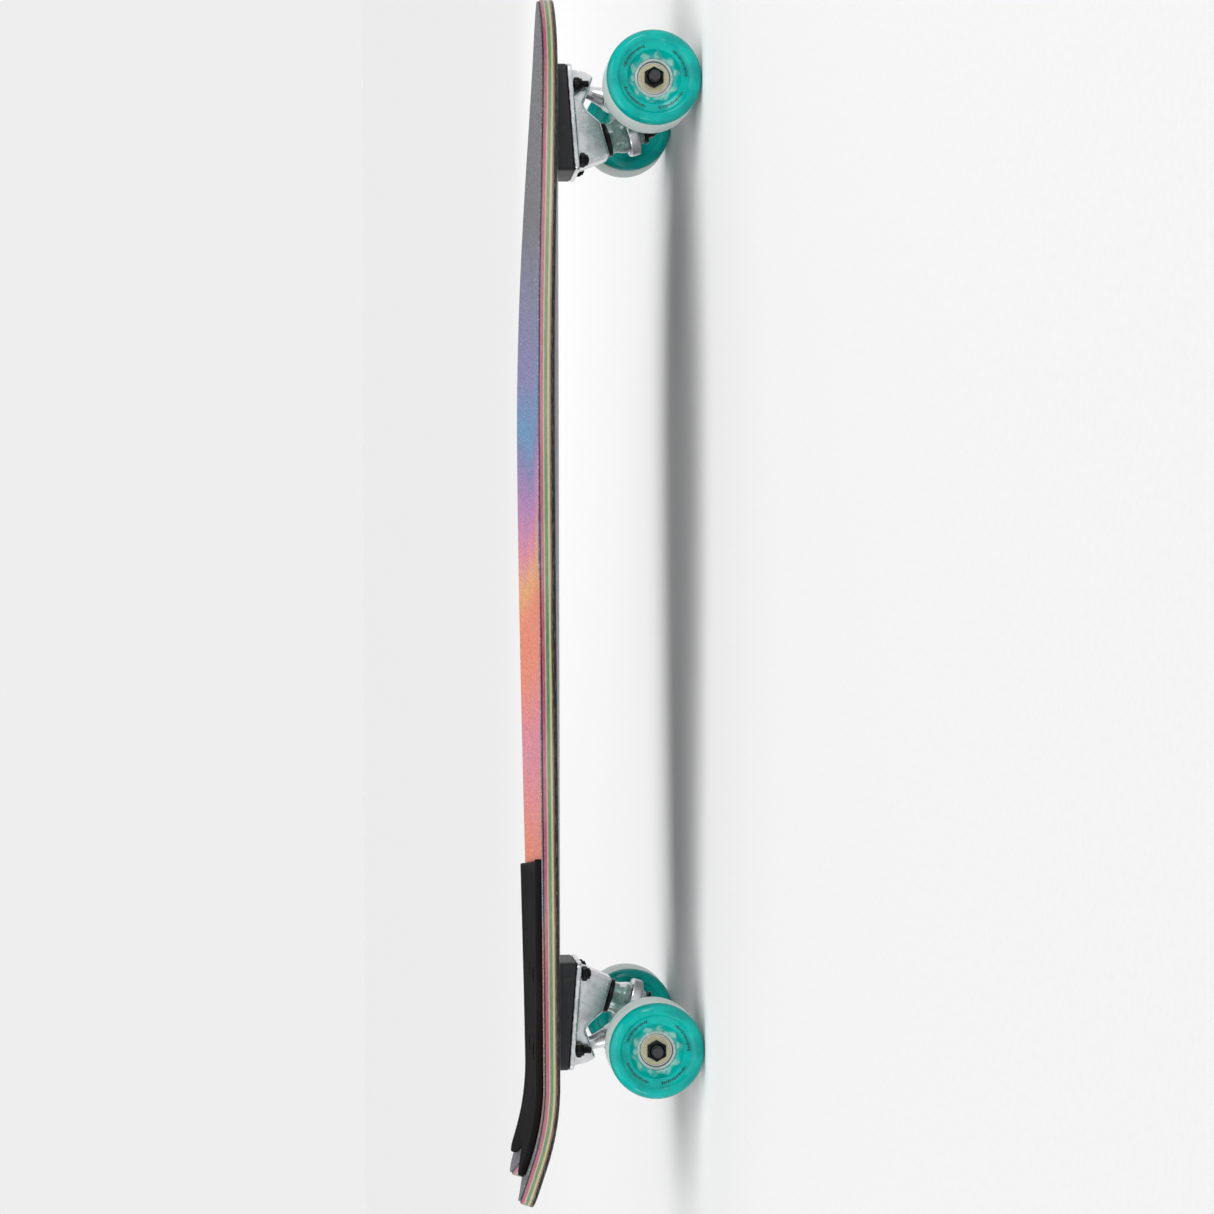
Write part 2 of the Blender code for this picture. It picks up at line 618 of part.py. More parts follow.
def build_kingpin(truck, frame, mats):
    """Kingpin, its washers, bushings and nut."""
    place = along(RING_CENTRE, KINGPIN_UP)
    bore = KINGPIN_RADIUS + GAP
    nut_low = -ROAD_SEAT - KINGPIN_NUT
    seat = head_seat() + GAP
    pin = rod(KINGPIN_RADIUS, nut_low - KINGPIN_TAIL, seat + 0.001, COARSE, place)
    kingpin = piece(f"{truck}_kingpin", pin, mats["black_steel"], frame, RING_CENTRE)
    head = prism(hexagon(KINGPIN_FLATS), seat, seat + KINGPIN_HEAD, place)
    combine(kingpin, tool(f"{truck}_kingpin_head", head, frame, RING_CENTRE), "UNION")

    top = BOARD_SEAT - GAP
    cup = [(BOARD_WASHER_RADIUS - 0.0006, top), (BOARD_WASHER_RADIUS, top - 0.0006),
           (BOARD_WASHER_RADIUS, top - WASHER_THICKNESS - 0.0012),
           (BOARD_WASHER_RADIUS - 0.0010, top - WASHER_THICKNESS - 0.0012),
           (BOARD_WASHER_RADIUS - 0.0013, top - WASHER_THICKNESS),
           (bore, top - WASHER_THICKNESS), (bore, top)]
    piece(f"{truck}_boardside_washer", turned(cup, MEDIUM, place), mats["black_steel"], frame,
          RING_CENTRE)
    low = -ROAD_SEAT + GAP
    flat = [(ROAD_WASHER_RADIUS, low + WASHER_THICKNESS), (ROAD_WASHER_RADIUS, low + 0.0004),
            (ROAD_WASHER_RADIUS - 0.0006, low), (bore, low), (bore, low + WASHER_THICKNESS)]
    piece(f"{truck}_roadside_washer", turned(flat, MEDIUM, place), mats["black_steel"], frame,
          RING_CENTRE)

    foot = RING_HALF - SEAT_DEPTH + GAP
    high = foot + SEAT_DEPTH + BOARD_BUSHING
    upper = [(BOARD_BUSHING_SLIM - 0.0006, high), (BOARD_BUSHING_SLIM, high - 0.0008),
             (BOARD_BUSHING_WIDE, foot + SEAT_DEPTH + 0.001), (BOARD_BUSHING_WIDE, foot),
             (bore, foot), (bore, high)]
    piece(f"{truck}_boardside_bushing", turned(upper, MEDIUM, place), mats["bushing"], frame,
          RING_CENTRE)
    deep = -foot - SEAT_DEPTH - ROAD_BUSHING
    lower = [(ROAD_BUSHING_WIDE, -foot), (ROAD_BUSHING_WIDE, -foot - SEAT_DEPTH),
             (ROAD_BUSHING_SLIM, deep), (bore, deep), (bore, -foot)]
    piece(f"{truck}_roadside_bushing", turned(lower, MEDIUM, place), mats["bushing"], frame,
          RING_CENTRE)
    nut_place = along(RING_CENTRE - ROAD_SEAT * KINGPIN_UP, -KINGPIN_UP)
    piece(f"{truck}_kingpin_nut", hex_nut(KINGPIN_FLATS, bore, 0, KINGPIN_NUT, nut_place),
          mats["black_steel"], frame, RING_CENTRE)


def build_hanger(truck, steer, mats):
    """Cast hanger: axle barrel, bushing ring, webs and pivot stub with its ball."""
    sideways = along((0, 0, 0), (0, 1, 0))
    shoulder = HANGER_HALF - 0.018
    barrel = [(0, HANGER_HALF), (BARREL_END, HANGER_HALF), (BARREL_END, shoulder),
              (BARREL_RADIUS * 0.84, shoulder - 0.004), (BARREL_RADIUS, 0.020), (BARREL_RADIUS, -0.020),
              (BARREL_RADIUS * 0.84, 0.004 - shoulder), (BARREL_END, -shoulder),
              (BARREL_END, -HANGER_HALF), (0, -HANGER_HALF)]
    hanger = steered(f"{truck}_hanger", turned(barrel, MEDIUM, sideways), steer, mats["aluminium"])

    side_on = Matrix.Rotation(pi / 2, 4, "X")
    root = PIVOT_CENTRE + STUB_LENGTH * STUB_DOWN
    across = Vector((cos(STUB_TILT), 0, -sin(STUB_TILT)))
    outer = root + (STUB_ROOT - 0.0005) * across
    inner = root - (STUB_ROOT - 0.0005) * across
    ring_top = RING_CENTRE + Vector((cos(KINGPIN_TILT), 0, sin(KINGPIN_TILT))) * (RING_RADIUS - 0.0010)
    side = [(outer.x, outer.z), (BARREL_RADIUS, 0.0020), (0.0080, -0.0082), (-0.0040, -0.0098),
            (ring_top.x + 0.001, ring_top.z - 0.0070), (ring_top.x, ring_top.z + 0.0024),
            (inner.x - 0.0040, inner.z - 0.0058), (inner.x, inner.z)]
    web = steered(f"{truck}_web", prism(side, -WEB_HALF, WEB_HALF, side_on), steer)
    soften(web, 0.0018, 1, 50)
    combine(hanger, web, "UNION")

    wing = []
    for sign in (1, -1):
        corners = [(BARREL_RADIUS / 2, WING_REACH), (-BARREL_RADIUS / 2, WING_REACH),
                   (RING_CENTRE.x, RING_RADIUS - 0.0020)]
        wing += [(x, sign * y) for x, y in corners[::sign]]
    level = prism(wing, WING_HEIGHT - WING_HALF, WING_HEIGHT + WING_HALF)
    wings = steered(f"{truck}_wings", level, steer)
    combine(hanger, wings, "UNION")
    ring_place = along(RING_CENTRE, KINGPIN_UP)
    ring = turned([(0, RING_HALF), (RING_RADIUS - 0.0014, RING_HALF), (RING_RADIUS, RING_HALF - 0.0014),
                   (RING_RADIUS, 0.0014 - RING_HALF), (RING_RADIUS - 0.0014, -RING_HALF),
                   (0, -RING_HALF)], FINE, ring_place)
    combine(hanger, steered(f"{truck}_ring", ring, steer), "UNION")

    ball = [(0, PIVOT_BALL)]
    for i in range(1, 6):
        angle = pi / 2 * (1 - i / 5) - 0.18 * i
        ball.append((PIVOT_BALL * cos(angle), PIVOT_BALL * sin(angle)))
    stub = ball + [(STUB_NECK + 0.0004, -CUP_MOUTH + 0.0010), (STUB_ROOT, -STUB_LENGTH),
                   (STUB_ROOT, -STUB_LENGTH - 0.004), (0, -STUB_LENGTH - 0.004)]
    stem = turned(stub, MEDIUM, along(PIVOT_CENTRE, -STUB_DOWN))
    combine(hanger, steered(f"{truck}_stub", stem, steer), "UNION")

    hole = rod(RING_BORE, -0.03, 0.03, MEDIUM, ring_place)
    combine(hanger, steered(f"{truck}_ring_bore", hole, steer))
    upper = rod(BOARD_BUSHING_WIDE + GAP, RING_HALF - SEAT_DEPTH, 0.02, MEDIUM, ring_place)
    combine(hanger, steered(f"{truck}_upper_seat", upper, steer))
    lower = rod(ROAD_BUSHING_WIDE + GAP, -0.02, SEAT_DEPTH - RING_HALF, MEDIUM, ring_place)
    combine(hanger, steered(f"{truck}_lower_seat", lower, steer))
    swing = -PIVOT_AXIS.cross(KINGPIN_UP).y * sin(STEER_LIMIT) * (ROAD_SEAT + RUN)
    clear = ROAD_WASHER_RADIUS + 2 * RUN
    room = rounded_rectangle(2 * (clear + swing), 2 * clear, clear - RUN)
    pocket = prism(room, -ROAD_SEAT - KINGPIN_NUT - KINGPIN_TAIL, -RING_HALF, ring_place)
    combine(hanger, steered(f"{truck}_washer_room", pocket, steer))
    bore = rod(AXLE_RADIUS + GAP, -0.1, 0.1, COARSE, sideways)
    combine(hanger, steered(f"{truck}_axle_bore", bore, steer))


def steered(name, bm, steer, mat=None):
    """A piece of the steering body, or a tool for one, with its origin on the steering axis."""
    make = piece if mat else tool
    obj = make(name, bm, *([mat] if mat else []), parent=steer, origin=PIVOT_CENTRE)
    obj.location = (0, 0, 0)
    return obj


def build_wheel_end(truck, side, steer, mats):
    """Wheel, its two bearings and the axle nut, on one end of the axle."""
    sign = (-1 if side == "near" else 1) * (1 if truck == "front" else -1)
    hub = Vector((0, sign * WHEEL_MIDDLE, 0))
    spin = guide(f"{truck}_{side}_spin", steer, hub - PIVOT_CENTRE)
    out = along((0, 0, 0), (0, sign, 0))
    half = WHEEL_WIDTH / 2
    pocket = BEARING_SPACING / 2 + BEARING_WIDTH
    seat = BEARING_RADIUS + GAP
    face = [(WHEEL_RADIUS, half * 0.66), (WHEEL_RADIUS * 0.955, half * 0.955),
            (LIP_RADIUS * 1.03, half), (LIP_RADIUS * 0.93, half * 0.94),
            (CORE_RADIUS, pocket + CORE_STEP), (seat, pocket + CORE_STEP),
            (seat, BEARING_SPACING / 2), (BEARING_RADIUS * 0.82, BEARING_SPACING / 2)]
    profile = [(r, h) for r, h in face] + [(r, -h) for r, h in reversed(face)]
    piece(f"{truck}_{side}_wheel", turned(profile[::-1], FINE, out), mats["urethane"], spin)
    for place, middle in (("inner", -BEARING_OFFSET), ("outer", BEARING_OFFSET)):
        width = BEARING_WIDTH / 2
        bore = BEARING_BORE + GAP
        ring = washer(BEARING_RADIUS, bore, middle - width, middle + width, MEDIUM, out)
        piece(f"{truck}_{side}_{place}_bearing", ring, mats["bearing"], spin)
    nut_at = Vector((0, sign * NUT_SEAT, 0))
    nut = hex_nut(AXLE_NUT_FLATS, AXLE_RADIUS + GAP, 0, AXLE_NUT_HEIGHT, along(nut_at, (0, sign, 0)))
    steered(f"{truck}_{side}_axle_nut", nut, steer, mats["black_steel"])


def build_truck(truck, mats):
    """One whole truck, hung under the deck."""
    turn = 0 if truck == "front" else pi
    frame = guide(f"{truck}_truck", None, (TRUCKS[truck], 0, WHEEL_RADIUS), turn)
    steer = guide(f"{truck}_steering", frame, PIVOT_CENTRE)
    build_riser(truck, frame, mats)
    build_baseplate(truck, frame, mats)
    build_pivot_cup(truck, frame, mats)
    build_kingpin(truck, frame, mats)
    build_mounting(truck, frame, mats)
    build_hanger(truck, steer, mats)
    end = NUT_SEAT + AXLE_NUT_HEIGHT + AXLE_END
    axle = rod(AXLE_RADIUS, -end, end, COARSE, along((0, 0, 0), (0, 1, 0)))
    steered(f"{truck}_axle", axle, steer, mats["axle_steel"])
    for side in ("near", "far"):
        build_wheel_end(truck, side, steer, mats)


def main():
    """Build the whole board."""
    clear_scene()
    mats = {
        "maple": finish("maple_plies", (0.62, 0.30, 0.42), 0.45),
        "grip": finish("grip_tape", (0.30, 0.30, 0.33), 0.95),
        "eva": finish("eva_foam", (0.02, 0.02, 0.02), 0.85),
        "riser": finish("riser_rubber", (0.03, 0.03, 0.035), 0.6),
        "aluminium": finish("cast_aluminium", (0.75, 0.76, 0.77), 0.25, 1.0),
        "cup": finish("pivot_cup_urethane", (0.03, 0.03, 0.03), 0.5),
        "bushing": finish("bushing_urethane", (0.45, 0.62, 0.58), 0.2),
        "black_steel": finish("black_steel", (0.02, 0.02, 0.02), 0.4, 0.6),
        "axle_steel": finish("axle_steel", (0.35, 0.35, 0.36), 0.35, 1.0),
        "urethane": finish("wheel_urethane", (0.0, 0.55, 0.48), 0.25),
        "bearing": finish("bearing_steel", (0.75, 0.74, 0.66), 0.3, 0.8),
    }
    build_deck(mats)
    for truck in TRUCKS:
        build_truck(truck, mats)


main()
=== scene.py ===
"""Looks of a surf-style cruiser skateboard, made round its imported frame.

+X points to the nose and +Z up, the near side is -Y, and the board stands on its wheels on Z = 0.
Each truck is drawn in a frame of its own: its origin is the middle of its axle, +X points outboard
and +Z towards the deck. The rear truck is the same drawing turned half a turn about Z. A wheel is
drawn round its own Z, which points away from the board.
"""
import logging
from collections.abc import Callable, Iterable, Sequence
from dataclasses import dataclass
from enum import Enum
from functools import lru_cache
from math import atan2, cos, hypot, pi, radians, sin, sqrt, tan

import bmesh
import bpy
from mathutils import Matrix, Vector


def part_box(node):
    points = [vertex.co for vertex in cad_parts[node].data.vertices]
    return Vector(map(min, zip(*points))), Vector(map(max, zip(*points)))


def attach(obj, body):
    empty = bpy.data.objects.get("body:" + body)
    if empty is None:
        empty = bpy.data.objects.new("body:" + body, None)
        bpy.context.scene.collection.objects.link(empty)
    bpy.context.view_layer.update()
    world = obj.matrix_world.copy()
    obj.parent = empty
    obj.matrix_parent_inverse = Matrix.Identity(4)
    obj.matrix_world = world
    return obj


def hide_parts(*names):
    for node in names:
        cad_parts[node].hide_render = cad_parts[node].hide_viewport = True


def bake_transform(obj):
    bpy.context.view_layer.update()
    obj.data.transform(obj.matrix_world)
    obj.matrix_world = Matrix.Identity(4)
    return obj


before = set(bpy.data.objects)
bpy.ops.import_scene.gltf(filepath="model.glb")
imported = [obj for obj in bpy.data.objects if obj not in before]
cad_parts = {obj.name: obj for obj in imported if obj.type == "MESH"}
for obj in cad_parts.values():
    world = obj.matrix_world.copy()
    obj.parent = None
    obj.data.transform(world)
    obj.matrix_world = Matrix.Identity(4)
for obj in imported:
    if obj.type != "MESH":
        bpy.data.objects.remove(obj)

LOG = logging.getLogger("skateboard")
DECK_THICKNESS = 0.0102
GRIP_THICKNESS = 0.0011
AXLE_RADIUS = 0.0040
Colour = tuple[float, float, float, float]
Points = list[tuple[float, float]]
Shape = bmesh.types.BMesh
Piece = bpy.types.Object


# ---- node trees written as expressions ------------------------------------------------------
class Wire:
    """A node socket that Python arithmetic can be written on."""

    def __init__(self, graph: "Graph", socket: bpy.types.NodeSocket) -> None:
        """Hold an output of a graph, which new Math nodes are added to."""
        self.graph = graph
        self.socket = socket

    def math(self, operation: str, *others: "Wire | float") -> "Wire":
        """Result of a new Math node whose first value is this wire."""
        return self.graph.arithmetic(operation, self, *others)

    def __add__(self, other: "Wire | float") -> "Wire":
        """Sum."""
        return self.math("ADD", other)

    __radd__ = __add__

    def __sub__(self, other: "Wire | float") -> "Wire":
        """Difference."""
        return self.math("SUBTRACT", other)

    def __rsub__(self, other: float) -> "Wire":
        """Difference, with the number first."""
        return self.graph.arithmetic("SUBTRACT", other, self)

    def __mul__(self, other: "Wire | float") -> "Wire":
        """Product."""
        return self.math("MULTIPLY", other)

    __rmul__ = __mul__

    def __truediv__(self, other: "Wire | float") -> "Wire":
        """Quotient."""
        return self.math("DIVIDE", other)

    def __pow__(self, other: float) -> "Wire":
        """Power."""
        return self.math("POWER", other)

    def __abs__(self) -> "Wire":
        """Size without sign."""
        return self.math("ABSOLUTE")

    def __gt__(self, other: "Wire | float") -> "Wire":
        """1 where this is the larger, and 0 elsewhere."""
        return self.math("GREATER_THAN", other)

    def step(self, low: float, high: float) -> "Wire":
        """Rise smoothly from 0 at low to 1 at high.

        Args:
            low: value that gives 0.
            high: value that gives 1. It may be under low, for a fall.

        Returns:
            The mask.
        """
        turned = low > high
        inputs = {"Value": self, "From Min": min(low, high), "From Max": max(low, high),
                  "To Min": 1.0 if turned else 0.0, "To Max": 0.0 if turned else 1.0}
        return self.graph.node("ShaderNodeMapRange", {"interpolation_type": "SMOOTHSTEP"}, inputs)


class Graph:
    """A node tree and the one method that adds to it."""

    def __init__(self, tree: bpy.types.NodeTree) -> None:
        """Hold the node tree to add to."""
        self.tree = tree

    def node(self, kind: str, settings: dict | None = None, inputs: dict | None = None,
             out: int | str = 0) -> Wire:
        """Add a node.

        Args:
            kind: the node's type.
            settings: its properties, with "stops" for a ramp's (position, colour) pairs.
            inputs: values or wires by socket name or number.
            out: the output to read.

        Returns:
            That output.
        """
        made = self.tree.nodes.new(kind)
        for key, value in (settings or {}).items():
            if key == "stops":
                self._set_stops(made.color_ramp, value)
            else:
                setattr(made, key, value)
        for key, value in (inputs or {}).items():
            self.feed(made.inputs[key], value)
        return Wire(self, made.outputs[out])

    def feed(self, socket: bpy.types.NodeSocket, value: "Wire | float | Sequence[float]") -> None:
        """Link a wire to a socket, or set its value.

        Args:
            socket: the input.
            value: a wire or a plain value.
        """
        if isinstance(value, Wire):
            self.tree.links.new(value.socket, socket)
        else:
            socket.default_value = value

    def arithmetic(self, operation: str, *values: "Wire | float") -> Wire:
        """Result of a new Math node with these values in order."""
        return self.node("ShaderNodeMath", {"operation": operation}, dict(enumerate(values)))

    @staticmethod
    def _set_stops(ramp: bpy.types.ColorRamp, stops: Sequence[tuple[float, Colour]]) -> None:
        """Give a colour ramp its stops.

        Args:
            ramp: the ramp, with its two first stops.
            stops: (position, colour) pairs in order.
        """
        while len(ramp.elements) < len(stops):
            ramp.elements.new(0.5)
        for element, (position, colour) in zip(ramp.elements, stops):
            element.position = position
            element.color = colour


class Shading(Graph):
    """The node tree of one material."""

    def __init__(self, name: str) -> None:
        """Make a material with a Principled shader.

        Args:
            name: the material's name.
        """
        self.material = bpy.data.materials.new(name)
        self.material.use_nodes = True
        super().__init__(self.material.node_tree)
        self.shader = self.tree.nodes["Principled BSDF"]

    def surface(self, **values: "Wire | float | Sequence[float]") -> None:
        """Set the shader's sockets, which are named with _ for a space."""
        for key, value in values.items():
            self.feed(self.shader.inputs[key.replace("_", " ")], value)

    def place(self) -> Wire:
        """Object coordinates, in metres."""
        return self.node("ShaderNodeTexCoord", out="Object")

    def stored(self, name: str, vector: bool = False) -> Wire:
        """Value of an attribute that the mesh carries, as a number or a vector."""
        return self.node("ShaderNodeAttribute", {"attribute_name": name},
                         out="Vector" if vector else "Fac")

    def axes(self, vector: Wire) -> tuple[Wire, Wire, Wire]:
        """The three parts of a vector."""
        outputs = self.node("ShaderNodeSeparateXYZ", inputs={0: vector}).socket.node.outputs
        return Wire(self, outputs[0]), Wire(self, outputs[1]), Wire(self, outputs[2])

    def stretch(self, vector: Wire, scale: Sequence[float]) -> Wire:
        """A vector with each axis scaled on its own."""
        return self.node("ShaderNodeVectorMath", {"operation": "MULTIPLY"}, {0: vector, 1: scale})

    def noise(self, vector: Wire, scale: float, detail: float = 2.0, rough: float = 0.5) -> Wire:
        """Cloudy noise from 0 to 1, with its lumps in a metre, octaves and their strength."""
        inputs = {"Vector": vector, "Scale": scale, "Detail": detail, "Roughness": rough}
        return self.node("ShaderNodeTexNoise", None, inputs)

    def mix(self, low: "Wire | Colour", high: "Wire | Colour", share: "Wire | float") -> Wire:
        """Colour that runs from low to high as the share runs from 0 to 1."""
        settings = {"data_type": "RGBA", "clamp_factor": True}
        return self.node("ShaderNodeMix", settings, {0: share, 6: low, 7: high}, out=2)

    def ramp(self, value: Wire, stops: Sequence[tuple[float, Colour]]) -> Wire:
        """A colour ramp over a value from 0 to 1."""
        return self.node("ShaderNodeValToRGB", {"stops": stops}, {0: value})

    def relief(self, height: Wire, distance: float, strength: float = 1.0) -> Wire:
        """Normal bent by a height from 0 to 1 that is a distance deep, in metres."""
        inputs = {"Height": height, "Distance": distance, "Strength": strength}
        return self.node("ShaderNodeBump", None, inputs)


class Recipe(Graph):
    """A Geometry Nodes tree with named inputs, which turns one mesh into another."""

    def __init__(self, name: str, sizes: dict[str, float | int], finish: bpy.types.Material) -> None:
        """Start a tree.

        Args:
            name: the tree's name.
            sizes: named inputs and their values, whole numbers as int.
            finish: material that the result gets.
        """
        super().__init__(bpy.data.node_groups.new(name, "GeometryNodeTree"))
        self.sizes = sizes
        self.finish = finish
        face = self.tree.interface
        face.new_socket("Geometry", in_out="INPUT", socket_type="NodeSocketGeometry")
        for key, value in sizes.items():
            kind = "NodeSocketInt" if isinstance(value, int) else "NodeSocketFloat"
            face.new_socket(key, in_out="INPUT", socket_type=kind)
        face.new_socket("Geometry", in_out="OUTPUT", socket_type="NodeSocketGeometry")
        self.source = self.tree.nodes.new("NodeGroupInput")

    def given(self, name: str) -> Wire:
        """A named input of the tree."""
        return Wire(self, self.source.outputs[name])

    def result(self, geometry: Wire) -> None:
        """End the tree in real geometry with its material.

        Args:
            geometry: what the tree made.
        """
        real = self.node("GeometryNodeRealizeInstances", inputs={0: geometry})
        dressed = self.node("GeometryNodeSetMaterial",
                            inputs={"Geometry": real, "Material": self.finish})
        end = self.tree.nodes.new("NodeGroupOutput")
        self.feed(end.inputs[0], dressed)

    def run(self, piece: Piece) -> Piece:
        """Run the tree on an object's mesh and keep the result as plain mesh.

        Args:
            piece: the object whose mesh goes in.

        Returns:
            The same object with its new mesh.
        """
        modifier = piece.modifiers.new(self.tree.name, "NODES")
        modifier.node_group = self.tree
        for item in self.tree.interface.items_tree:
            if item.name in self.sizes:
                modifier[item.identifier] = self.sizes[item.name]
        settle(piece)
        return piece


# ---- mesh helpers ---------------------------------------------------------------------------
def rgb(red: int, green: int, blue: int) -> Colour:
    """A display colour from 0 to 255 as the linear colour that shaders use."""
    linear = [(part / 255 / 12.92) if part <= 10 else ((part / 255 + 0.055) / 1.055) ** 2.4
              for part in (red, green, blue)]
    return (*linear, 1.0)


def settle(piece: Piece) -> None:
    """Apply an object's modifiers and remove them.

    Args:
        piece: the object.
    """
    graph = bpy.context.evaluated_depsgraph_get()
    graph.update()
    made = bpy.data.meshes.new_from_object(piece.evaluated_get(graph),
                                           preserve_all_data_layers=True, depsgraph=graph)
    piece.modifiers.clear()
    old = piece.data
    piece.data = made
    made.name = piece.name
    bpy.data.meshes.remove(old)


def add(name: str, data: bpy.types.ID) -> Piece:
    """Put a new object in the scene.

    Args:
        name: the object's name.
        data: its mesh, light or camera.

    Returns:
        The object.
    """
    piece = bpy.data.objects.new(name, data)
    bpy.context.scene.collection.objects.link(piece)
    return piece


def make(name: str, bm: Shape, crease: float = 32.0) -> Piece:
    """Make an object at the origin from a bmesh, shaded smooth but for its sharp edges.

    Args:
        name: the object's name.
        bm: the shape, which is freed.
        crease: angle in degrees above which an edge stays sharp.

    Returns:
        The object.
    """
    bmesh.ops.recalc_face_normals(bm, faces=bm.faces)
    mesh = bpy.data.meshes.new(name)
    bm.to_mesh(mesh)
    bm.free()
    piece = add(name, mesh)
    shade(piece, crease)
    return piece


def shade(piece: Piece, crease: float = 32.0) -> None:
    """Shade an object smooth, with edges sharper than an angle in degrees left sharp."""
    piece.data.shade_smooth()
    piece.data.set_sharp_from_angle(angle=radians(crease))


def melt_together(*shapes: Shape) -> Shape:
    """Put several bmeshes in one, and free them.

    Args:
        shapes: the bmeshes.

    Returns:
        One bmesh with all their faces.
    """
    whole = bmesh.new()
    for shape in shapes:
        bmesh.ops.recalc_face_normals(shape, faces=shape.faces)
        part = bpy.data.meshes.new("part")
        shape.to_mesh(part)
        shape.free()
        whole.from_mesh(part)
        bpy.data.meshes.remove(part)
    return whole


def along(point: Sequence[float], direction: Sequence[float]) -> Matrix:
    """Matrix that stands a shape drawn along +Z at a point, pointing in a direction."""
    turn = Vector(direction).to_track_quat("Z", "Y").to_matrix()
    return Matrix.Translation(Vector(point)) @ turn.to_4x4()


def hexagon_reach(flats: float, angle: float) -> float:
    """Distance from a hexagon's middle to its side at an angle, for a width across the flats."""
    return flats / 2 / cos((angle + pi / 6) % (pi / 3) - pi / 6)


def lathe(profile: Sequence[Sequence[float]], place: Matrix = Matrix(), sides: int = 72,
          bands: Sequence[int] | None = None) -> Shape:
    """Turn a closed run of points about Z.

    Args:
        profile: (radius, height) points, with a third value where a hexagon of that width across
            its flats holds the radius in.
        place: where the shape stands.
        sides: points round it, a multiple of 6 where there is a hexagon.
        bands: material number of each stretch of the profile.

    Returns:
        The closed shape.
    """
    bm = bmesh.new()
    rings = []
    for radius, height, *flats in profile:
        if radius == 0:
            rings.append([bm.verts.new((0, 0, height))] * sides)
            continue
        ring = []
        for i in range(sides):
            angle = 2 * pi * i / sides
            reach = min(radius, hexagon_reach(flats[0], angle + pi / 6)) if flats else radius
            ring.append(bm.verts.new((reach * cos(angle), reach * sin(angle), height)))
        rings.append(ring)
    for i, near in enumerate(rings):
        far = rings[(i + 1) % len(rings)]
        if near[0] is near[1] and far[0] is far[1]:
            continue
        for j in range(sides):
            k = (j + 1) % sides
            face = bm.faces.new(list(dict.fromkeys((near[j], near[k], far[k], far[j]))))
            face.material_index = bands[i] if bands else 0
    bm.transform(place)
    return bm


def cylinder(radius: float, low: float, high: float, place: Matrix = Matrix(),
             sides: int = 72) -> Shape:
    """Cylinder about Z between two heights."""
    return lathe([(0, low), (radius, low), (radius, high), (0, high)], place, sides)


def drills(places: Points, radius: float, low: float, high: float, sides: int = 48) -> list[Shape]:
    """Upright cylinders at some places, to cut round holes with."""
    return [cylinder(radius, low, high, Matrix.Translation((x, y, 0)), sides) for x, y in places]


def doubled(half: Points) -> Points:
    """One half of a profile followed by its mirror image across Z = 0."""
    return half + [(r, -h) for r, h in reversed(half) if h]


def sleeve(bore: float, radius: float, low: float, high: float, soft: float) -> Points:
    """Profile of a bored disc or tube whose outer edges are cut back by soft."""
    return [(bore, low), (radius - soft, low), (radius, low + soft), (radius, high - soft),
            (radius - soft, high), (bore, high)]


def rounded(points: Points, radius: float, steps: int = 5) -> Points:
    """Round the corners of a closed flat outline.

    Args:
        points: its corners in order.
        radius: distance from each corner at which the rounding starts.
        steps: points in each corner.

    Returns:
        The outline.
    """
    outline = []
    count = len(points)
    for i, point in enumerate(points):
        corner = Vector(point)
        before, after = Vector(points[i - 1]), Vector(points[(i + 1) % count])
        reach = min(radius, (before - corner).length * 0.45, (after - corner).length * 0.45)
        start = corner + (before - corner).normalized() * reach
        end = corner + (after - corner).normalized() * reach
        for step in range(steps + 1):
            share = step / steps
            outline.append(tuple(start.lerp(corner, share).lerp(corner.lerp(end, share), share)))
    return outline


def rectangle(length: float, width: float, middle: float = 0.0) -> Points:
    """Corners of a rectangle whose middle is at (middle, 0)."""
    signs = ((1, 1), (-1, 1), (-1, -1), (1, -1))
    return [(middle + sx * length / 2, sy * width / 2) for sx, sy in signs]


def stitch(bm: Shape, loops: Sequence[Sequence[bmesh.types.BMVert]]) -> None:
    """Wall in the stretches between loops.

    Args:
        bm: the shape that the walls are added to.
        loops: closed loops of one number of points, in order.
    """
    for under, over in zip(loops, loops[1:]):
        for i in range(len(under)):
            k = (i + 1) % len(under)
            bm.faces.new((under[i], under[k], over[k], over[i]))


def stack(loops: Sequence[Sequence[Sequence[float]]]) -> Shape:
    """Close a shape round loops of points.

    Args:
        loops: loops of one number of points, from the floor to the roof.

    Returns:
        The closed shape.
    """
    bm = bmesh.new()
    rows = [[bm.verts.new(point) for point in loop] for loop in loops]
    bm.faces.new(reversed(rows[0]))
    bm.faces.new(rows[-1])
    stitch(bm, rows)
    return bm


def prism(outline: Points, low: float | Callable[[float], float],
          high: float | Callable[[float], float], place: Matrix = Matrix()) -> Shape:
    """Stand a flat outline up between two heights.

    Args:
        outline: (x, y) points in order.
        low: height of the floor, or a function of x that gives it.
        high: height of the roof, or a function of x.
        place: where the shape stands.

    Returns:
        The closed shape.
    """
    bm = stack([[(x, y, end(x) if callable(end) else end) for x, y in outline] for end in (low, high)])
    bm.transform(place)
    return bm


def cast(name: str, solids: Iterable[Shape], grain: float = 0.00062, passes: int = 5) -> Piece:
    """Melt overlapping solids into one casting with soft inner corners.

    Args:
        name: the piece's name.
        solids: the closed shapes.
        grain: size of the voxels.
        passes: rounds of smoothing.

    Returns:
        The casting.
    """
    piece = make(name, melt_together(*solids))
    melt = piece.modifiers.new("melt", "REMESH")
    melt.mode = "VOXEL"
    melt.voxel_size = grain
    ease = piece.modifiers.new("ease", "SMOOTH")
    ease.factor = 0.5
    ease.iterations = passes
    settle(piece)
    return piece


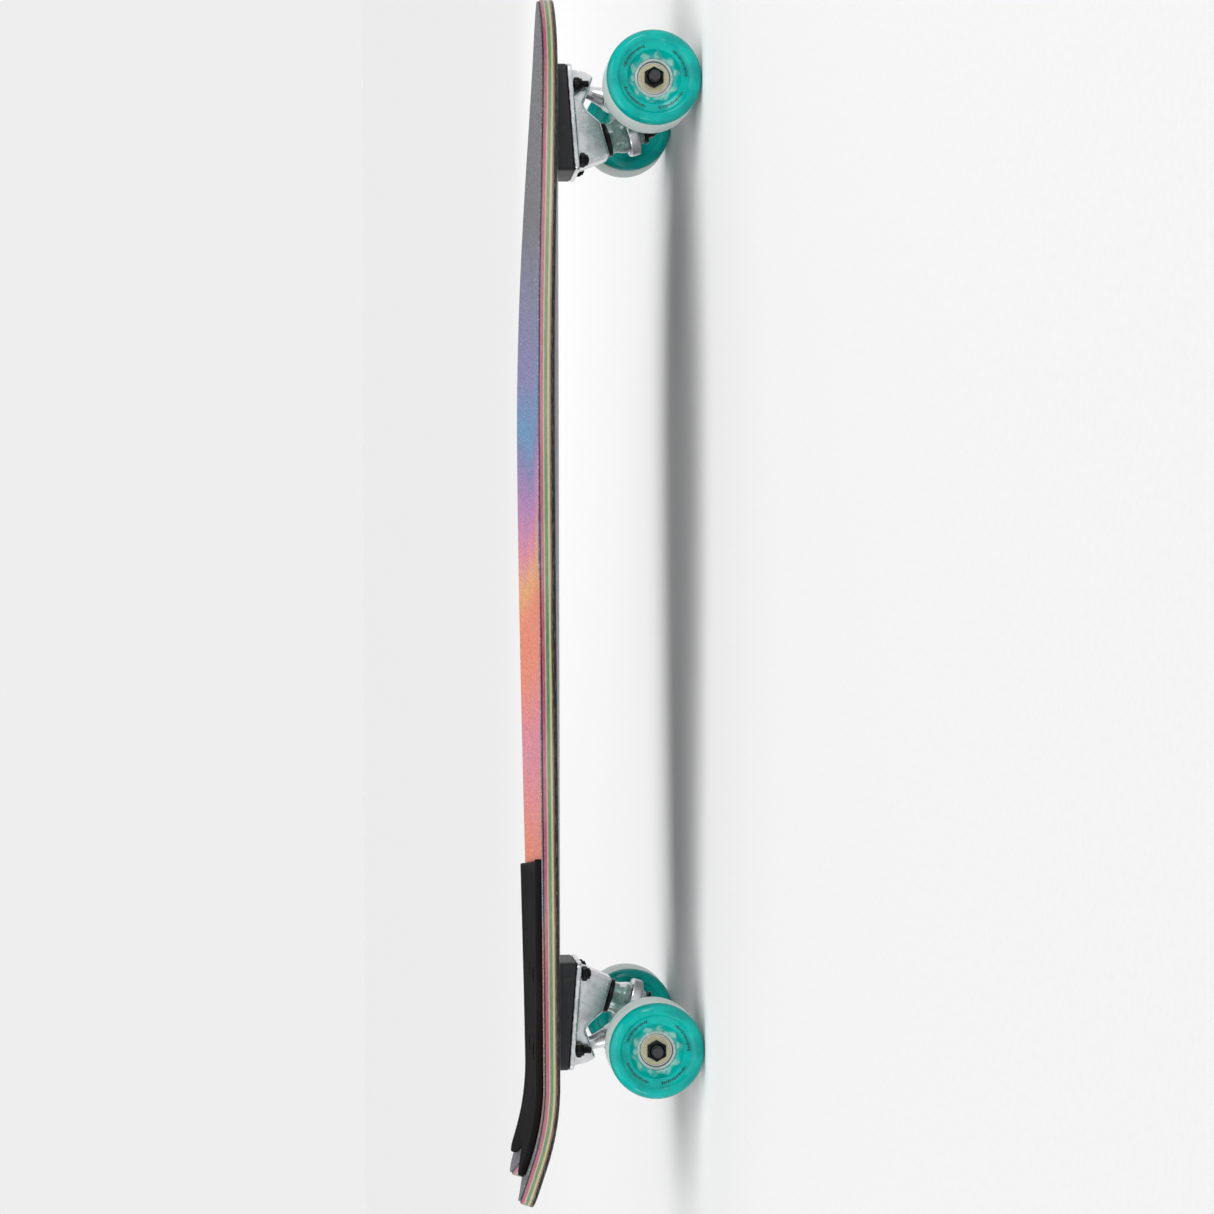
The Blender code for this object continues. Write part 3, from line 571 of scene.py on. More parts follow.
def machine(piece: Piece, cutters: Iterable[Shape], crease: float = 32.0) -> None:
    """Cut a piece with closed shapes.

    Args:
        piece: what is cut.
        cutters: the shapes, which are used up.
        crease: angle in degrees above which an edge is left sharp.
    """
    tools = [make(f"{piece.name}_cutter_{i}", cutter) for i, cutter in enumerate(cutters)]
    for item in tools:
        cut = piece.modifiers.new("cut", "BOOLEAN")
        cut.operation = "DIFFERENCE"
        cut.solver = "MANIFOLD"
        cut.object = item
    settle(piece)
    for item in tools:
        mesh = item.data
        bpy.data.objects.remove(item)
        bpy.data.meshes.remove(mesh)
    shade(piece, crease)


def keep_place(piece: Piece, place: Matrix) -> None:
    """Store each point's position in a piece's own frame, as the attribute "own".

    Args:
        piece: the piece.
        place: where its own frame stands.
    """
    back = place.inverted()
    own = piece.data.attributes.new("own", "FLOAT_VECTOR", "POINT")
    for vertex, value in zip(piece.data.vertices, own.data):
        value.vector = back @ vertex.co


def keep_number(piece: Piece, name: str, rule: Callable[[Vector], float]) -> None:
    """Store a number at each point of a piece, by a rule from the point's position."""
    layer = piece.data.attributes.new(name, "FLOAT", "POINT")
    layer.data.foreach_set("value", [rule(vertex.co) for vertex in piece.data.vertices])


class Body(Enum):
    """Moving bodies of the board, by the part of their name after the truck's."""

    BOARD = "board"
    STEERING = "steering"
    ROLLER = "roller"


def deliver(piece: Piece, body: str, nodes: Sequence[str] = (),
            finish: "Finish | None" = None) -> Piece:
    """Dress a finished piece, hang it on its body and report it.

    Args:
        piece: the piece, in place.
        body: name of the body that it moves with.
        nodes: frame nodes that it stands for.
        finish: what it is made of, where the mesh doesn't say so already.

    Returns:
        The piece.
    """
    if finish:
        piece.data.materials.clear()
        piece.data.materials.append(finish.material())
    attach(piece, body)
    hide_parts(*nodes)
    LOG.info("%s: %d faces on %s", piece.name, len(piece.data.polygons), body)
    return piece


# ---- finishes -------------------------------------------------------------------------------
class Finish:
    """Something that a piece is made of. A finish builds its material once."""

    @lru_cache(maxsize=None)
    def material(self) -> bpy.types.Material:
        """The finish's material."""
        shading = Shading(type(self).__name__.lower())
        self.draw(shading)
        return shading.material

    def draw(self, s: Shading) -> None:
        """Add the finish's nodes to a material."""
        raise NotImplementedError


@dataclass(frozen=True)
class DyedPlies(Finish):
    """Seven dyed maple plies seen on edge, with a lacquered black veneer under them.

    The mesh's "depth" runs from 0 at the top to 1 at the underside.
    """

    top: Colour = rgb(38, 20, 30)
    pink: Colour = rgb(166, 52, 104)
    maple: Colour = rgb(190, 150, 112)
    green: Colour = rgb(22, 130, 92)
    cream: Colour = rgb(186, 166, 116)
    walnut: Colour = rgb(74, 56, 42)
    black: Colour = rgb(16, 16, 20)
    sheen: Colour = rgb(18, 42, 74)
    wobble: float = 0.035

    def draw(self, s: Shading) -> None:
        """Draw the plies, their grain and glue lines.

        Args:
            s: the material to draw in.
        """
        place = s.place()
        waver = s.noise(s.stretch(place, (14.0, 14.0, 60.0)), 1.0, 3.0)
        depth = s.stored("depth") + (waver - 0.5) * self.wobble
        stops = [(0.0, self.top), (0.070, self.top), (0.085, self.pink), (0.245, self.pink),
                 (0.262, self.maple), (0.330, self.maple), (0.347, self.green), (0.535, self.green),
                 (0.552, self.cream), (0.680, self.cream), (0.695, self.walnut), (0.780, self.walnut),
                 (0.800, self.black), (1.0, self.black)]
        faded = s.noise(s.stretch(place, (7.0, 7.0, 7.0)), 1.0, 1.0).step(0.38, 0.66)
        plies = s.mix(s.ramp(depth, stops), rgb(222, 204, 190), faded * depth.step(0.82, 0.76) * 0.22)
        fibres = s.noise(s.stretch(place, (160.0, 160.0, 2600.0)), 1.0, 4.0, 0.6)
        pores = s.noise(s.stretch(place, (900.0, 900.0, 3200.0)), 1.0, 2.0) > 0.64
        wood = s.mix(plies, s.mix(plies, rgb(250, 240, 225), 0.16), fibres.step(0.45, 0.75))
        wood = s.mix(wood, s.mix(plies, rgb(30, 20, 18), 0.45), pores * 0.55)
        under = s.noise(s.stretch(place, (30.0, 420.0, 420.0)), 1.0, 4.0, 0.65)
        veneer = s.mix(self.black, self.sheen, under.step(0.42, 0.72))
        face = s.stored("depth").step(0.93, 0.985)
        s.surface(Base_Color=s.mix(wood, veneer, face), Roughness=0.30 + fibres * 0.25 - face * 0.12,
                  Normal=s.relief(fibres + under * face, 0.00006), Specular_IOR_Level=0.2,
                  Coat_Weight=0.15, Coat_Roughness=0.12)


@dataclass(frozen=True)
class PrintedGrit(Finish):
    """Grip tape: sharp mineral grit over a print that drifts from grey through violet to coral."""

    grey: Colour = rgb(122, 122, 127)
    violet: Colour = rgb(140, 136, 184)
    sky: Colour = rgb(104, 156, 196)
    lilac: Colour = rgb(190, 136, 190)
    pink: Colour = rgb(232, 146, 166)
    amber: Colour = rgb(242, 176, 120)
    coral: Colour = rgb(246, 146, 118)
    mist: Colour = rgb(112, 142, 172)
    grains: float = 1150.0
    length: float = 0.850

    def draw(self, s: Shading) -> None:
        """Draw the print and the grit, with painted glints and painted shade on the grains.

        Args:
            s: the material to draw in.
        """
        place = s.place()
        x, y, _ = s.axes(place)
        cloud = s.noise(s.stretch(place, (5.0, 16.0, 1.0)), 1.0, 2.0, 0.45)
        wisp = s.noise(s.stretch(place, (11.0, 30.0, 1.0)), 1.0, 3.0, 0.5)
        run = x / self.length + 0.5 + (cloud - 0.5) * 0.12 + y * 0.12
        stops = [(0.00, self.grey), (0.05, self.grey), (0.10, self.coral), (0.28, self.coral),
                 (0.38, self.pink), (0.44, self.coral), (0.49, self.coral), (0.525, self.amber),
                 (0.555, self.pink), (0.59, self.lilac), (0.625, self.violet), (0.655, self.sky),
                 (0.695, self.violet), (0.76, rgb(134, 134, 164)), (0.82, self.grey),
                 (1.0, self.grey)]
        printed = s.ramp(run, stops)
        rail = s.stored("rail")
        near = rail.step(0.050, 0.012) * (y.step(0.0, -0.04))
        early = x.step(-0.05, -0.11) * x.step(-0.26, -0.20)
        late = x.step(0.000, 0.025) * x.step(0.115, 0.070)
        patch = near * (early + late) * wisp.step(0.34, 0.58)
        printed = s.mix(printed, self.mist, patch)
        printed = s.mix(self.grey, printed, (rail + (wisp - 0.5) * 0.002).step(0.0006, 0.0032))
        grit = s.noise(place, self.grains, 2.0, 0.7)
        coarse = s.noise(place, self.grains * 0.42, 1.0, 0.5)
        # Painted shade darkens the low spots between the grains, painted glints whiten their tips, and more
        # painted shade darkens the coarse dips.
        painted_grit_shade = s.mix(printed, rgb(28, 28, 34), grit.step(0.52, 0.34) * 0.62)
        grit_with_painted_light = s.mix(painted_grit_shade, rgb(250, 250, 252), grit.step(0.60, 0.74) * 0.75)
        grit_with_painted_light = s.mix(grit_with_painted_light, rgb(60, 60, 70), coarse.step(0.40, 0.30) * 0.35)
        s.surface(Base_Color=grit_with_painted_light, Roughness=0.95 - grit.step(0.60, 0.72) * 0.55,
                  Normal=s.relief(grit + coarse * 0.6, 0.0003, 0.8))


@dataclass(frozen=True)
class PadFoam(Finish):
    """Closed-cell EVA foam with a fine skin."""

    black: Colour = rgb(9, 9, 10)
    worn: Colour = rgb(30, 29, 28)

    def draw(self, s: Shading) -> None:
        """Draw the foam's cells and its scuffed crowns.

        Args:
            s: the material to draw in.
        """
        place = s.place()
        cells = s.noise(place, 2600.0, 1.0)
        scuff = s.noise(s.stretch(place, (26.0, 90.0, 26.0)), 1.0, 3.0, 0.6)
        s.surface(Base_Color=s.mix(self.black, self.worn, scuff.step(0.48, 0.78) * 0.6 + cells * 0.12),
                  Roughness=0.78 + cells * 0.2, Normal=s.relief(cells, 0.00008, 0.6),
                  Specular_IOR_Level=0.25)


@dataclass(frozen=True)
class Moulded(Finish):
    """Moulded rubber or hard plastic.

    Fields are its colour, the same where it is rubbed, its roughness, and how deep its skin is.
    """

    colour: Colour = rgb(30, 31, 34)
    rubbed: Colour = rgb(66, 64, 62)
    rough: float = 0.5
    skin: float = 0.00006

    def draw(self, s: Shading) -> None:
        """Draw the moulded skin.

        Args:
            s: the material to draw in.
        """
        place = s.place()
        fine = s.noise(place, 1800.0, 3.0, 0.6)
        broad = s.noise(place, 110.0, 3.0)
        s.surface(Base_Color=s.mix(self.colour, self.rubbed, broad.step(0.50, 0.80) * 0.5 + fine * 0.08),
                  Roughness=self.rough + (broad - 0.5) * 0.25, Normal=s.relief(fine, self.skin, 0.7))


@dataclass(frozen=True)
class CastAluminium(Finish):
    """Tumbled cast aluminium."""

    bright: Colour = rgb(222, 223, 225)
    dull: Colour = rgb(170, 172, 176)
    rough: float = 0.19
    pitting: float = 0.00004

    def draw(self, s: Shading) -> None:
        """Draw the tumbled skin, with faint pits and cloudy polish.

        Args:
            s: the material to draw in.
        """
        place = s.place()
        cloud = s.noise(place, 90.0, 4.0, 0.6)
        skin = s.noise(place, 900.0, 3.0, 0.6)
        pits = s.noise(place, 2200.0, 1.0).step(0.70, 0.78)
        tone = s.mix(self.bright, self.dull, cloud.step(0.42, 0.72) * 0.7 + pits * 0.3)
        s.surface(Base_Color=tone, Metallic=1.0, Roughness=self.rough + cloud * 0.16,
                  Normal=s.relief(skin - pits * 0.6, self.pitting, 0.5))


@dataclass(frozen=True)
class Steel(Finish):
    """Steel hardware, bare or blackened.

    Fields are its colour, the colour of its rubbed edges, its roughness, and how metallic it is.
    """

    colour: Colour = rgb(22, 22, 24)
    rubbed: Colour = rgb(78, 76, 74)
    rough: float = 0.34
    metal: float = 0.75

    def draw(self, s: Shading) -> None:
        """Draw the plating and its fine scratches.

        Args:
            s: the material to draw in.
        """
        place = s.place()
        scratch = s.noise(s.stretch(place, (240.0, 2400.0, 240.0)), 1.0, 3.0, 0.7)
        broad = s.noise(place, 420.0, 2.0)
        s.surface(Base_Color=s.mix(self.colour, self.rubbed, scratch.step(0.58, 0.80) * 0.6),
                  Metallic=self.metal, Roughness=self.rough + (broad - 0.5) * 0.2,
                  Normal=s.relief(scratch, 0.00003, 0.6))


@dataclass(frozen=True)
class WheelUrethane(Finish):
    """Clear dyed urethane: glossy faces and a frosted tread.

    The mesh's "own" is the point in the wheel's frame, with the axle along Z.
    """

    dye: Colour = rgb(0, 190, 180)
    # deep is the darker dye of the swirls, and also the painted shade of the outer lip.
    deep: Colour = rgb(0, 150, 144)
    pale: Colour = rgb(176, 226, 214)
    frost: Colour = rgb(232, 240, 236)
    radius: float = 0.0325
    tread_half: float = 0.0150
    teeth: int = 10

    def draw(self, s: Shading) -> None:
        """Draw the dye, the core's teeth showing through it, painted shade on the lip, and the frosted tread.

        Args:
            s: the material to draw in.
        """
        own = s.stored("own", vector=True)
        x, y, z = s.axes(own)
        reach = (x * x + y * y) ** 0.5
        swirl = s.noise(own, 70.0, 3.0, 0.5)
        streak = s.noise(s.stretch(own, (40.0, 40.0, 700.0)), 1.0, 3.0, 0.6)
        tread = reach.step(self.radius - 0.0010, self.radius - 0.0002) * abs(z).step(
            self.tread_half + 0.0012, self.tread_half)
        body = s.mix(self.dye, self.deep, swirl.step(0.35, 0.70) * 0.7)
        lobes = (y.math("ARCTAN2", x) * self.teeth).math("SINE") * 0.0012
        teeth = (reach + lobes).step(0.0172, 0.0150)
        clouds = s.noise(own, 150.0, 2.0, 0.5).step(0.44, 0.60)
        body = s.mix(body, self.pale, teeth * (clouds * 0.65 + 0.12))
        # Painted shade: the outer lip is darkened towards the deep teal by its radius alone.
        edge = reach.step(self.radius - 0.0022, self.radius - 0.0006)
        body = s.mix(body, self.deep, edge * 0.5)
        worn = s.mix(self.frost, self.pale, streak.step(0.50, 0.85) * 0.45)
        marks = (reach * (2 * pi / 0.0011)).math("SINE") * 0.5 + 0.5
        s.surface(Base_Color=s.mix(body, worn, tread * 0.90), Roughness=0.07 + tread * 0.42,
                  Specular_IOR_Level=0.22, Subsurface_Weight=0.25, Subsurface_Scale=0.004,
                  Subsurface_Radius=(0.3, 1.0, 0.9), Transmission_Weight=0.15, IOR=1.46,
                  Normal=s.relief(marks * (1 - tread) * 0.2 + streak * tread * 0.6, 0.00004))


@dataclass(frozen=True)
class ClearUrethane(Finish):
    """Lightly dyed clear urethane, as in the bushings and the wheels' cores.

    Fields are its dye, its cloudy dye, its roughness and how clear it is.
    """

    dye: Colour = rgb(176, 214, 204)
    cloudy: Colour = rgb(120, 168, 160)
    rough: float = 0.16
    clear: float = 0.6

    def draw(self, s: Shading) -> None:
        """Draw the dye and its faint streaks.

        Args:
            s: the material to draw in.
        """
        place = s.place()
        cloud = s.noise(place, 160.0, 3.0, 0.6)
        s.surface(Base_Color=s.mix(self.dye, self.cloudy, cloud.step(0.40, 0.68)),
                  Roughness=self.rough + cloud * 0.10, Transmission_Weight=self.clear, IOR=1.46,
                  Coat_Weight=0.4, Coat_Roughness=0.06, Normal=s.relief(cloud, 0.00012, 0.5))


@dataclass(frozen=True)
class BearingShield(Finish):
    """Cream rubber shield of a bearing, with faint rings. It reads "own" as the wheels do."""

    cream: Colour = rgb(208, 202, 168)
    dusty: Colour = rgb(176, 168, 134)

    def draw(self, s: Shading) -> None:
        """Draw the shield's rings.

        Args:
            s: the material to draw in.
        """
        own = s.stored("own", vector=True)
        x, y, _ = s.axes(own)
        rings = ((x * x + y * y) ** 0.5 * (2 * pi / 0.0014)).math("SINE") * 0.5 + 0.5
        dust = s.noise(own, 900.0, 3.0)
        s.surface(Base_Color=s.mix(self.cream, self.dusty, dust.step(0.4, 0.7) * 0.7 + rings * 0.15),
                  Roughness=0.42 + dust * 0.2, Normal=s.relief(rings, 0.00005, 0.6))


@dataclass(frozen=True)
class PrintInk(Finish):
    """Dark pad-printed ink on the wheels."""

    ink: Colour = rgb(10, 26, 26)

    def draw(self, s: Shading) -> None:
        """Draw the ink's slightly broken film."""
        film = s.noise(s.place(), 3000.0, 2.0)
        s.surface(Base_Color=s.mix(self.ink, rgb(20, 70, 66), film.step(0.58, 0.8)), Roughness=0.35)


@dataclass(frozen=True)
class StudioPaper(Finish):
    """Pale backdrop paper."""

    tone: Colour = rgb(246, 246, 246)

    def draw(self, s: Shading) -> None:
        """Draw the paper's faint tooth."""
        tooth = s.noise(s.place(), 300.0, 2.0)
        s.surface(Base_Color=s.mix(self.tone, rgb(240, 240, 240), tooth.step(0.4, 0.8) * 0.4),
                  Roughness=0.9, Specular_IOR_Level=0.1)


BLACK_STEEL = Steel()
AXLE_STEEL = Steel(rgb(74, 74, 78), rgb(120, 118, 116), 0.34, 1.0)
RACE_STEEL = Steel(rgb(196, 197, 200), rgb(232, 232, 234), 0.16, 1.0)
ZINC = Steel(rgb(186, 188, 190), rgb(220, 220, 220), 0.28, 1.0)
RISER_RUBBER = Moulded()
CUP_URETHANE = Moulded(rgb(26, 26, 28), rgb(48, 48, 50), 0.4)
ALUMINIUM = CastAluminium()
BUSHING = ClearUrethane()
CORE = ClearUrethane(rgb(226, 238, 234), rgb(188, 216, 210), 0.22, 0.35)
URETHANE = WheelUrethane()


# ---- repeated shapes ------------------------------------------------------------------------
def ring_recipe(name: str, finish: Finish, sizes: dict[str, float | int]) -> Recipe:
    """Geometry Nodes tree that sets copies of a shape round Z.

    Every third copy is whole, and the two after it have their reach scaled by "Between".

    Args:
        name: the tree's name.
        finish: what the copies are made of.
        sizes: Count, Radius, Height, First angle, Step angle and Between.

    Returns:
        The tree.
    """
    r = Recipe(name, sizes, finish.material())
    index = r.node("GeometryNodeInputIndex")
    angle = r.given("First angle") + r.given("Step angle") * index
    spot = r.node("ShaderNodeCombineXYZ", inputs={
        "X": r.given("Radius") * angle.math("COSINE"), "Y": r.given("Radius") * angle.math("SINE"),
        "Z": r.given("Height")})
    points = r.node("GeometryNodePoints", inputs={"Count": r.given("Count"), "Position": spot})
    turn = r.node("ShaderNodeCombineXYZ", inputs={"Z": angle})
    between = index.math("MODULO", 3.0) > 0.5
    scale = 1 - between * (1 - r.given("Between"))
    size = r.node("ShaderNodeCombineXYZ", inputs={"X": scale, "Y": 1.0, "Z": 1.0})
    copies = r.node("GeometryNodeInstanceOnPoints", inputs={
        "Points": points, "Instance": r.given("Geometry"), "Rotation": turn, "Scale": size})
    r.result(copies)
    return r


def places_recipe(name: str, finish: Finish, spots: Piece) -> Recipe:
    """Geometry Nodes tree that sets a copy of a shape at each point of another object.

    Args:
        name: the tree's name.
        finish: what the copies are made of.
        spots: the object whose points are the places, each with a "turn" about Z.

    Returns:
        The tree.
    """
    r = Recipe(name, {"Size": 1.0}, finish.material())
    info = r.node("GeometryNodeObjectInfo", {"transform_space": "RELATIVE"}, {"Object": spots},
                  out="Geometry")
    turn = r.node("GeometryNodeInputNamedAttribute", {"data_type": "FLOAT"}, {"Name": "turn"})
    rotation = r.node("ShaderNodeCombineXYZ", inputs={"Z": turn})
    copies = r.node("GeometryNodeInstanceOnPoints", inputs={
        "Points": info, "Instance": r.given("Geometry"), "Rotation": rotation,
        "Scale": r.given("Size")})
    r.result(copies)
    return r


def thread_recipe(name: str, finish: Finish, sizes: dict[str, float | int]) -> Recipe:
    """Geometry Nodes tree that winds a thread round the shape that goes in.

    Args:
        name: the tree's name.
        finish: what the threaded piece is made of.
        sizes: Radius, Turns, Length, Start and Ridge.

    Returns:
        The tree.
    """
    r = Recipe(name, sizes, finish.material())
    helix = r.node("GeometryNodeCurveSpiral", inputs={
        "Resolution": 20, "Rotations": r.given("Turns"), "Start Radius": r.given("Radius"),
        "End Radius": r.given("Radius"), "Height": r.given("Length")})
    ridge = r.node("GeometryNodeCurvePrimitiveCircle", inputs={
        "Resolution": 4, "Radius": r.given("Ridge")})
    wound = r.node("GeometryNodeCurveToMesh", inputs={
        "Curve": helix, "Profile Curve": ridge, "Fill Caps": True})
    lift = r.node("ShaderNodeCombineXYZ", inputs={"Z": r.given("Start")})
    moved = r.node("GeometryNodeTransform", inputs={"Geometry": wound, "Translation": lift})
    both = r.node("GeometryNodeJoinGeometry")
    r.tree.links.new(moved.socket, both.socket.node.inputs[0])
    r.tree.links.new(r.given("Geometry").socket, both.socket.node.inputs[0])
    r.result(both)
    return r


def groove_recipe(name: str, finish: Finish, sizes: dict[str, float | int]) -> Recipe:
    """Geometry Nodes tree that presses lengthwise grooves into a sheet.

    The grooves fade out where the sheet's "crown" falls to 0, at its rim.

    Args:
        name: the tree's name.
        finish: what the sheet is made of.
        sizes: Pitch, Depth and Narrow, the power that narrows each groove.

    Returns:
        The tree.
    """
    r = Recipe(name, sizes, finish.material())
    position = r.node("GeometryNodeInputPosition")
    across = Wire(r, r.node("ShaderNodeSeparateXYZ", inputs={0: position}).socket.node.outputs[1])
    crown = r.node("GeometryNodeInputNamedAttribute", {"data_type": "FLOAT"}, {"Name": "crown"})
    wave = (across * (2 * pi) / r.given("Pitch")).math("COSINE") * 0.5 + 0.5
    drop = wave.math("POWER", r.given("Narrow")) * r.given("Depth") * crown
    offset = r.node("ShaderNodeCombineXYZ", inputs={"Z": drop * -1.0})
    pressed = r.node("GeometryNodeSetPosition", inputs={"Geometry": r.given("Geometry"),
                                                       "Offset": offset})
    r.result(pressed)
    return r


def hex_nut(flats: float, bore: float, height: float, collar: float) -> list[tuple[float, ...]]:
    """Profile of a chamfered hexagonal lock nut that stands on Z = 0.

    Args:
        flats: width across the flats.
        bore: radius of its hole.
        height: full height.
        collar: height of its round collar.

    Returns:
        Profile points for the lathe.
    """
    corner = flats / 2 / cos(pi / 6)
    top = height - collar
    soft = 0.0003
    return [(bore, 0), (flats * 0.47, 0, flats), (corner, 0.0007, flats), (corner, top - 0.0009, flats),
            (flats * 0.475, top, flats), (flats * 0.435, top + soft), (flats * 0.425, height - soft * 2),
            (flats * 0.405, height), (bore + 0.0012, height), (bore + 0.0008, height - 0.0005),
            (bore, height - 0.0007)]


# ---- deck -----------------------------------------------------------------------------------
@dataclass
class Deck:
    """The board: pressed plies, grip tape and the tail pad."""

    length: float = 0.850
    width: float = 0.240
    nose_run: float = 0.300
    nose_roundness: float = 0.66
    tail_width: float = 0.124
    tail_taper: float = 1.6
    tail_corner: float = 0.011
    notch_depth: float = 0.023
    notch_fade: float = 0.090
    flat_half: float = 0.032
    concave_rise: float = 0.0078
    concave_at: float = 0.117
    kick_start: float = -0.337
    kick_radius: float = 0.190
    kick_angle: float = radians(18)
    edge: float = 0.0016
    grip_inset: float = 0.0012
    grip_edge: float = 0.0003
    pad_lift: float = 0.0122
    pad_thickness: float = 0.0048
    pad_inset: float = 0.012
    pad_front: float = -0.181
    pad_slant: float = 0.017
    pad_half: float = 0.083
    pad_edge: float = 0.0012
    pad_hole: float = 0.0062
    slant_fade: float = 0.1
    groove_pitch: float = 0.0042
    groove_depth: float = 0.0011
    groove_margin: float = 0.0025
    groove_fade: float = 0.004
    gap: float = 0.0003

    def __post_init__(self) -> None:
        """Take the underside's height from the frame."""
        self.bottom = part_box("deck")[0].z
        self.grip_lift = DECK_THICKNESS + self.gap

    def half_width(self, x: float, inset: float = 0.0) -> float:
        """Half width of the outline.

        Args:
            x: place along the deck.
            inset: how far the outline is drawn in.

        Returns:
            The half width at x, with round tail corners.
        """
        far = x * self.length / (self.length - 2 * inset)
        widest = self.length / 2 - self.nose_run
        if far >= widest:
            run = min((self.length / 2 - far) / self.nose_run, 1.0)
            side = self.width / 2 * (1 - (1 - run) ** 2) ** self.nose_roundness
        else:
            run = (widest - far) / (widest + self.length / 2)
            side = self.width / 2 - (self.width - self.tail_width) / 2 * run ** self.tail_taper
        half = side - inset * min(1.0, side / (self.width / 4))
        past = self.tail_corner - (x + self.length / 2 - inset)
        if past > 0:
            half -= self.tail_corner - sqrt(max(self.tail_corner ** 2 - past ** 2, 0.0))
        return half

    def height(self, x: float, y: float) -> float:
        """Height of the underside: level middle, raised rails and a kicked tail.

        Args:
            x: place along the deck.
            y: place across it.

        Returns:
            The height.
        """
        rail = max(abs(y) - self.flat_half, 0.0)
        rise = self.concave_rise * (rail / (self.concave_at - self.flat_half)) ** 2
        run = self.kick_start - x
        arc = self.kick_radius * sin(self.kick_angle)
        if 0 < run < arc:
            rise += self.kick_radius - sqrt(self.kick_radius ** 2 - run ** 2)
        elif run >= arc:
            rise += self.kick_radius * (1 - cos(self.kick_angle)) + (run - arc) * tan(self.kick_angle)
        return self.bottom + rise

    def up(self, x: float, y: float) -> Vector:
        """Direction square to the deck.

        Args:
            x: place along the deck.
            y: place across it.

        Returns:
            The direction, one long.
        """
        step = 0.0005
        slope_x = (self.height(x + step, y) - self.height(x - step, y)) / (2 * step)
        slope_y = (self.height(x, y + step) - self.height(x, y - step)) / (2 * step)
        return Vector((-slope_x, -slope_y, 1)).normalized()

    def lift(self, point: Vector) -> float:
        """Distance of a point above the underside."""
        return (point.z - self.height(point.x, point.y)) * self.up(point.x, point.y).z

    def notch(self, x: float, y: float, inset: float) -> float:
        """How far forward the swallow tail's V carries a point.

        Args:
            x: place along the deck.
            y: place across it.
            inset: how far the outline is drawn in.

        Returns:
            The distance.
        """
        fade = max(0.0, 1 - (x + self.length / 2 - inset) / self.notch_fade)
        tip = self.tail_width / 2 - self.tail_corner
        return self.notch_depth * fade ** 2 * max(0.0, 1 - hypot(y, 0.002) / tip)

    def rows(self, start: float, end: float, count: int) -> list[float]:
        """Places of a sheet's rows, from front to back.

        Args:
            start: front end.
            end: back end.
            count: rows of the long middle.

        Returns:
            The places, closer together at a pointed nose and at the tail corners.
        """
        first = start
        rows = []
        if start > 0:
            first = start - 0.16 * self.nose_run
            rows = [start + (first - start) * (i / 22) ** 2.3 for i in range(22)]
        tail = end + self.tail_corner
        rows += [first + (tail - first) * i / count for i in range(count)]
        rows += [end + self.tail_corner * (1 - sin(pi / 2 * i / 9)) for i in range(10)]
        return rows

    def sheet(self, levels: Points, columns: int, count: int,
              front: float | None = None) -> Shape:
        """Closed sheet that follows the deck.

        Args:
            levels: (lift, inset) of each loop round the rim, from the bottom face to the top one.
            columns: stretches across.
            count: rows of the long middle.
            front: place of the front edge, or None for a sheet that runs to the nose.

        Returns:
            The sheet.
        """
        bm = bmesh.new()
        shares = [2 * j / columns - 1 for j in range(columns + 1)]
        slightest = min(inset for _, inset in levels)
        loops, faces = [], []
        for number, (lift, inset) in enumerate(levels):
            whole = number in (0, len(levels) - 1)
            start = self.length / 2 - inset if front is None else front + slightest - inset
            grid = []
            for row, x in enumerate(self.rows(start, inset - self.length / 2, count)):
                half = self.half_width(x, inset)
                last = row == 0 and front is not None or x == inset - self.length / 2
                line = []
                for share in shares:
                    if not whole and not last and abs(share) < 1:
                        continue
                    y = half * share
                    skew = 0.0
                    if front is not None:
                        fade = max(0.0, 1 - (start - x) / self.slant_fade)
                        skew = self.pad_slant * fade * (share + 1) / 2
                    at = x + self.notch(x, y, inset) - skew
                    line.append((at, y))
                if row == 0 and front is None:
                    line = [(x, 0.0)]
                grid.append([bm.verts.new(Vector((at, y, self.height(at, y))) + lift * self.up(at, y))
                             for at, y in line])
            if whole:
                faces.append(grid)
            loops.append(self.rim(grid, front is not None))
        for grid in faces:
            self._cover(bm, grid)
        stitch(bm, loops)
        return bm

    @staticmethod
    def _cover(bm: Shape, grid: list[list[bmesh.types.BMVert]]) -> None:
        """Fill a grid of rows, whose first row may be one point."""
        for front, back in zip(grid, grid[1:]):
            for j in range(len(back) - 1):
                near = front[j:j + 2] if len(front) > 1 else front
                bm.faces.new([*near, back[j + 1], back[j]])

    @staticmethod
    def rim(grid: list[list[bmesh.types.BMVert]], square: bool) -> list[bmesh.types.BMVert]:
        """The points round the edge of a grid, in order.

        Args:
            grid: rows of points, of which only the ends matter but in the first and last.
            square: whether the first row is a whole edge.

        Returns:
            The loop.
        """
        right = [line[-1] for line in grid]
        left = [line[0] for line in reversed(grid)]
        back = list(reversed(grid[-1][1:-1]))
        front = grid[0][1:-1] if square else []
        return list(dict.fromkeys(right + back + left + front))

    @staticmethod
    def levels(low: float, high: float, inset: float, edge: float, steps: int) -> Points:
        """Loops round a rim with both its edges rounded.

        Args:
            low: lift of the bottom face.
            high: lift of the top face.
            inset: how far the rim is drawn in from the deck's outline.
            edge: radius of the edges.
            steps: loops in each rounding.

        Returns:
            (lift, inset) pairs from bottom to top.
        """
        angles = [pi / 2 * i / steps for i in range(steps + 1)]
        under = [(low + edge * (1 - sin(a)), inset + edge * (1 - cos(a))) for a in reversed(angles)]
        over = [(high - edge * (1 - sin(a)), inset + edge * (1 - cos(a))) for a in angles]
        return under + over

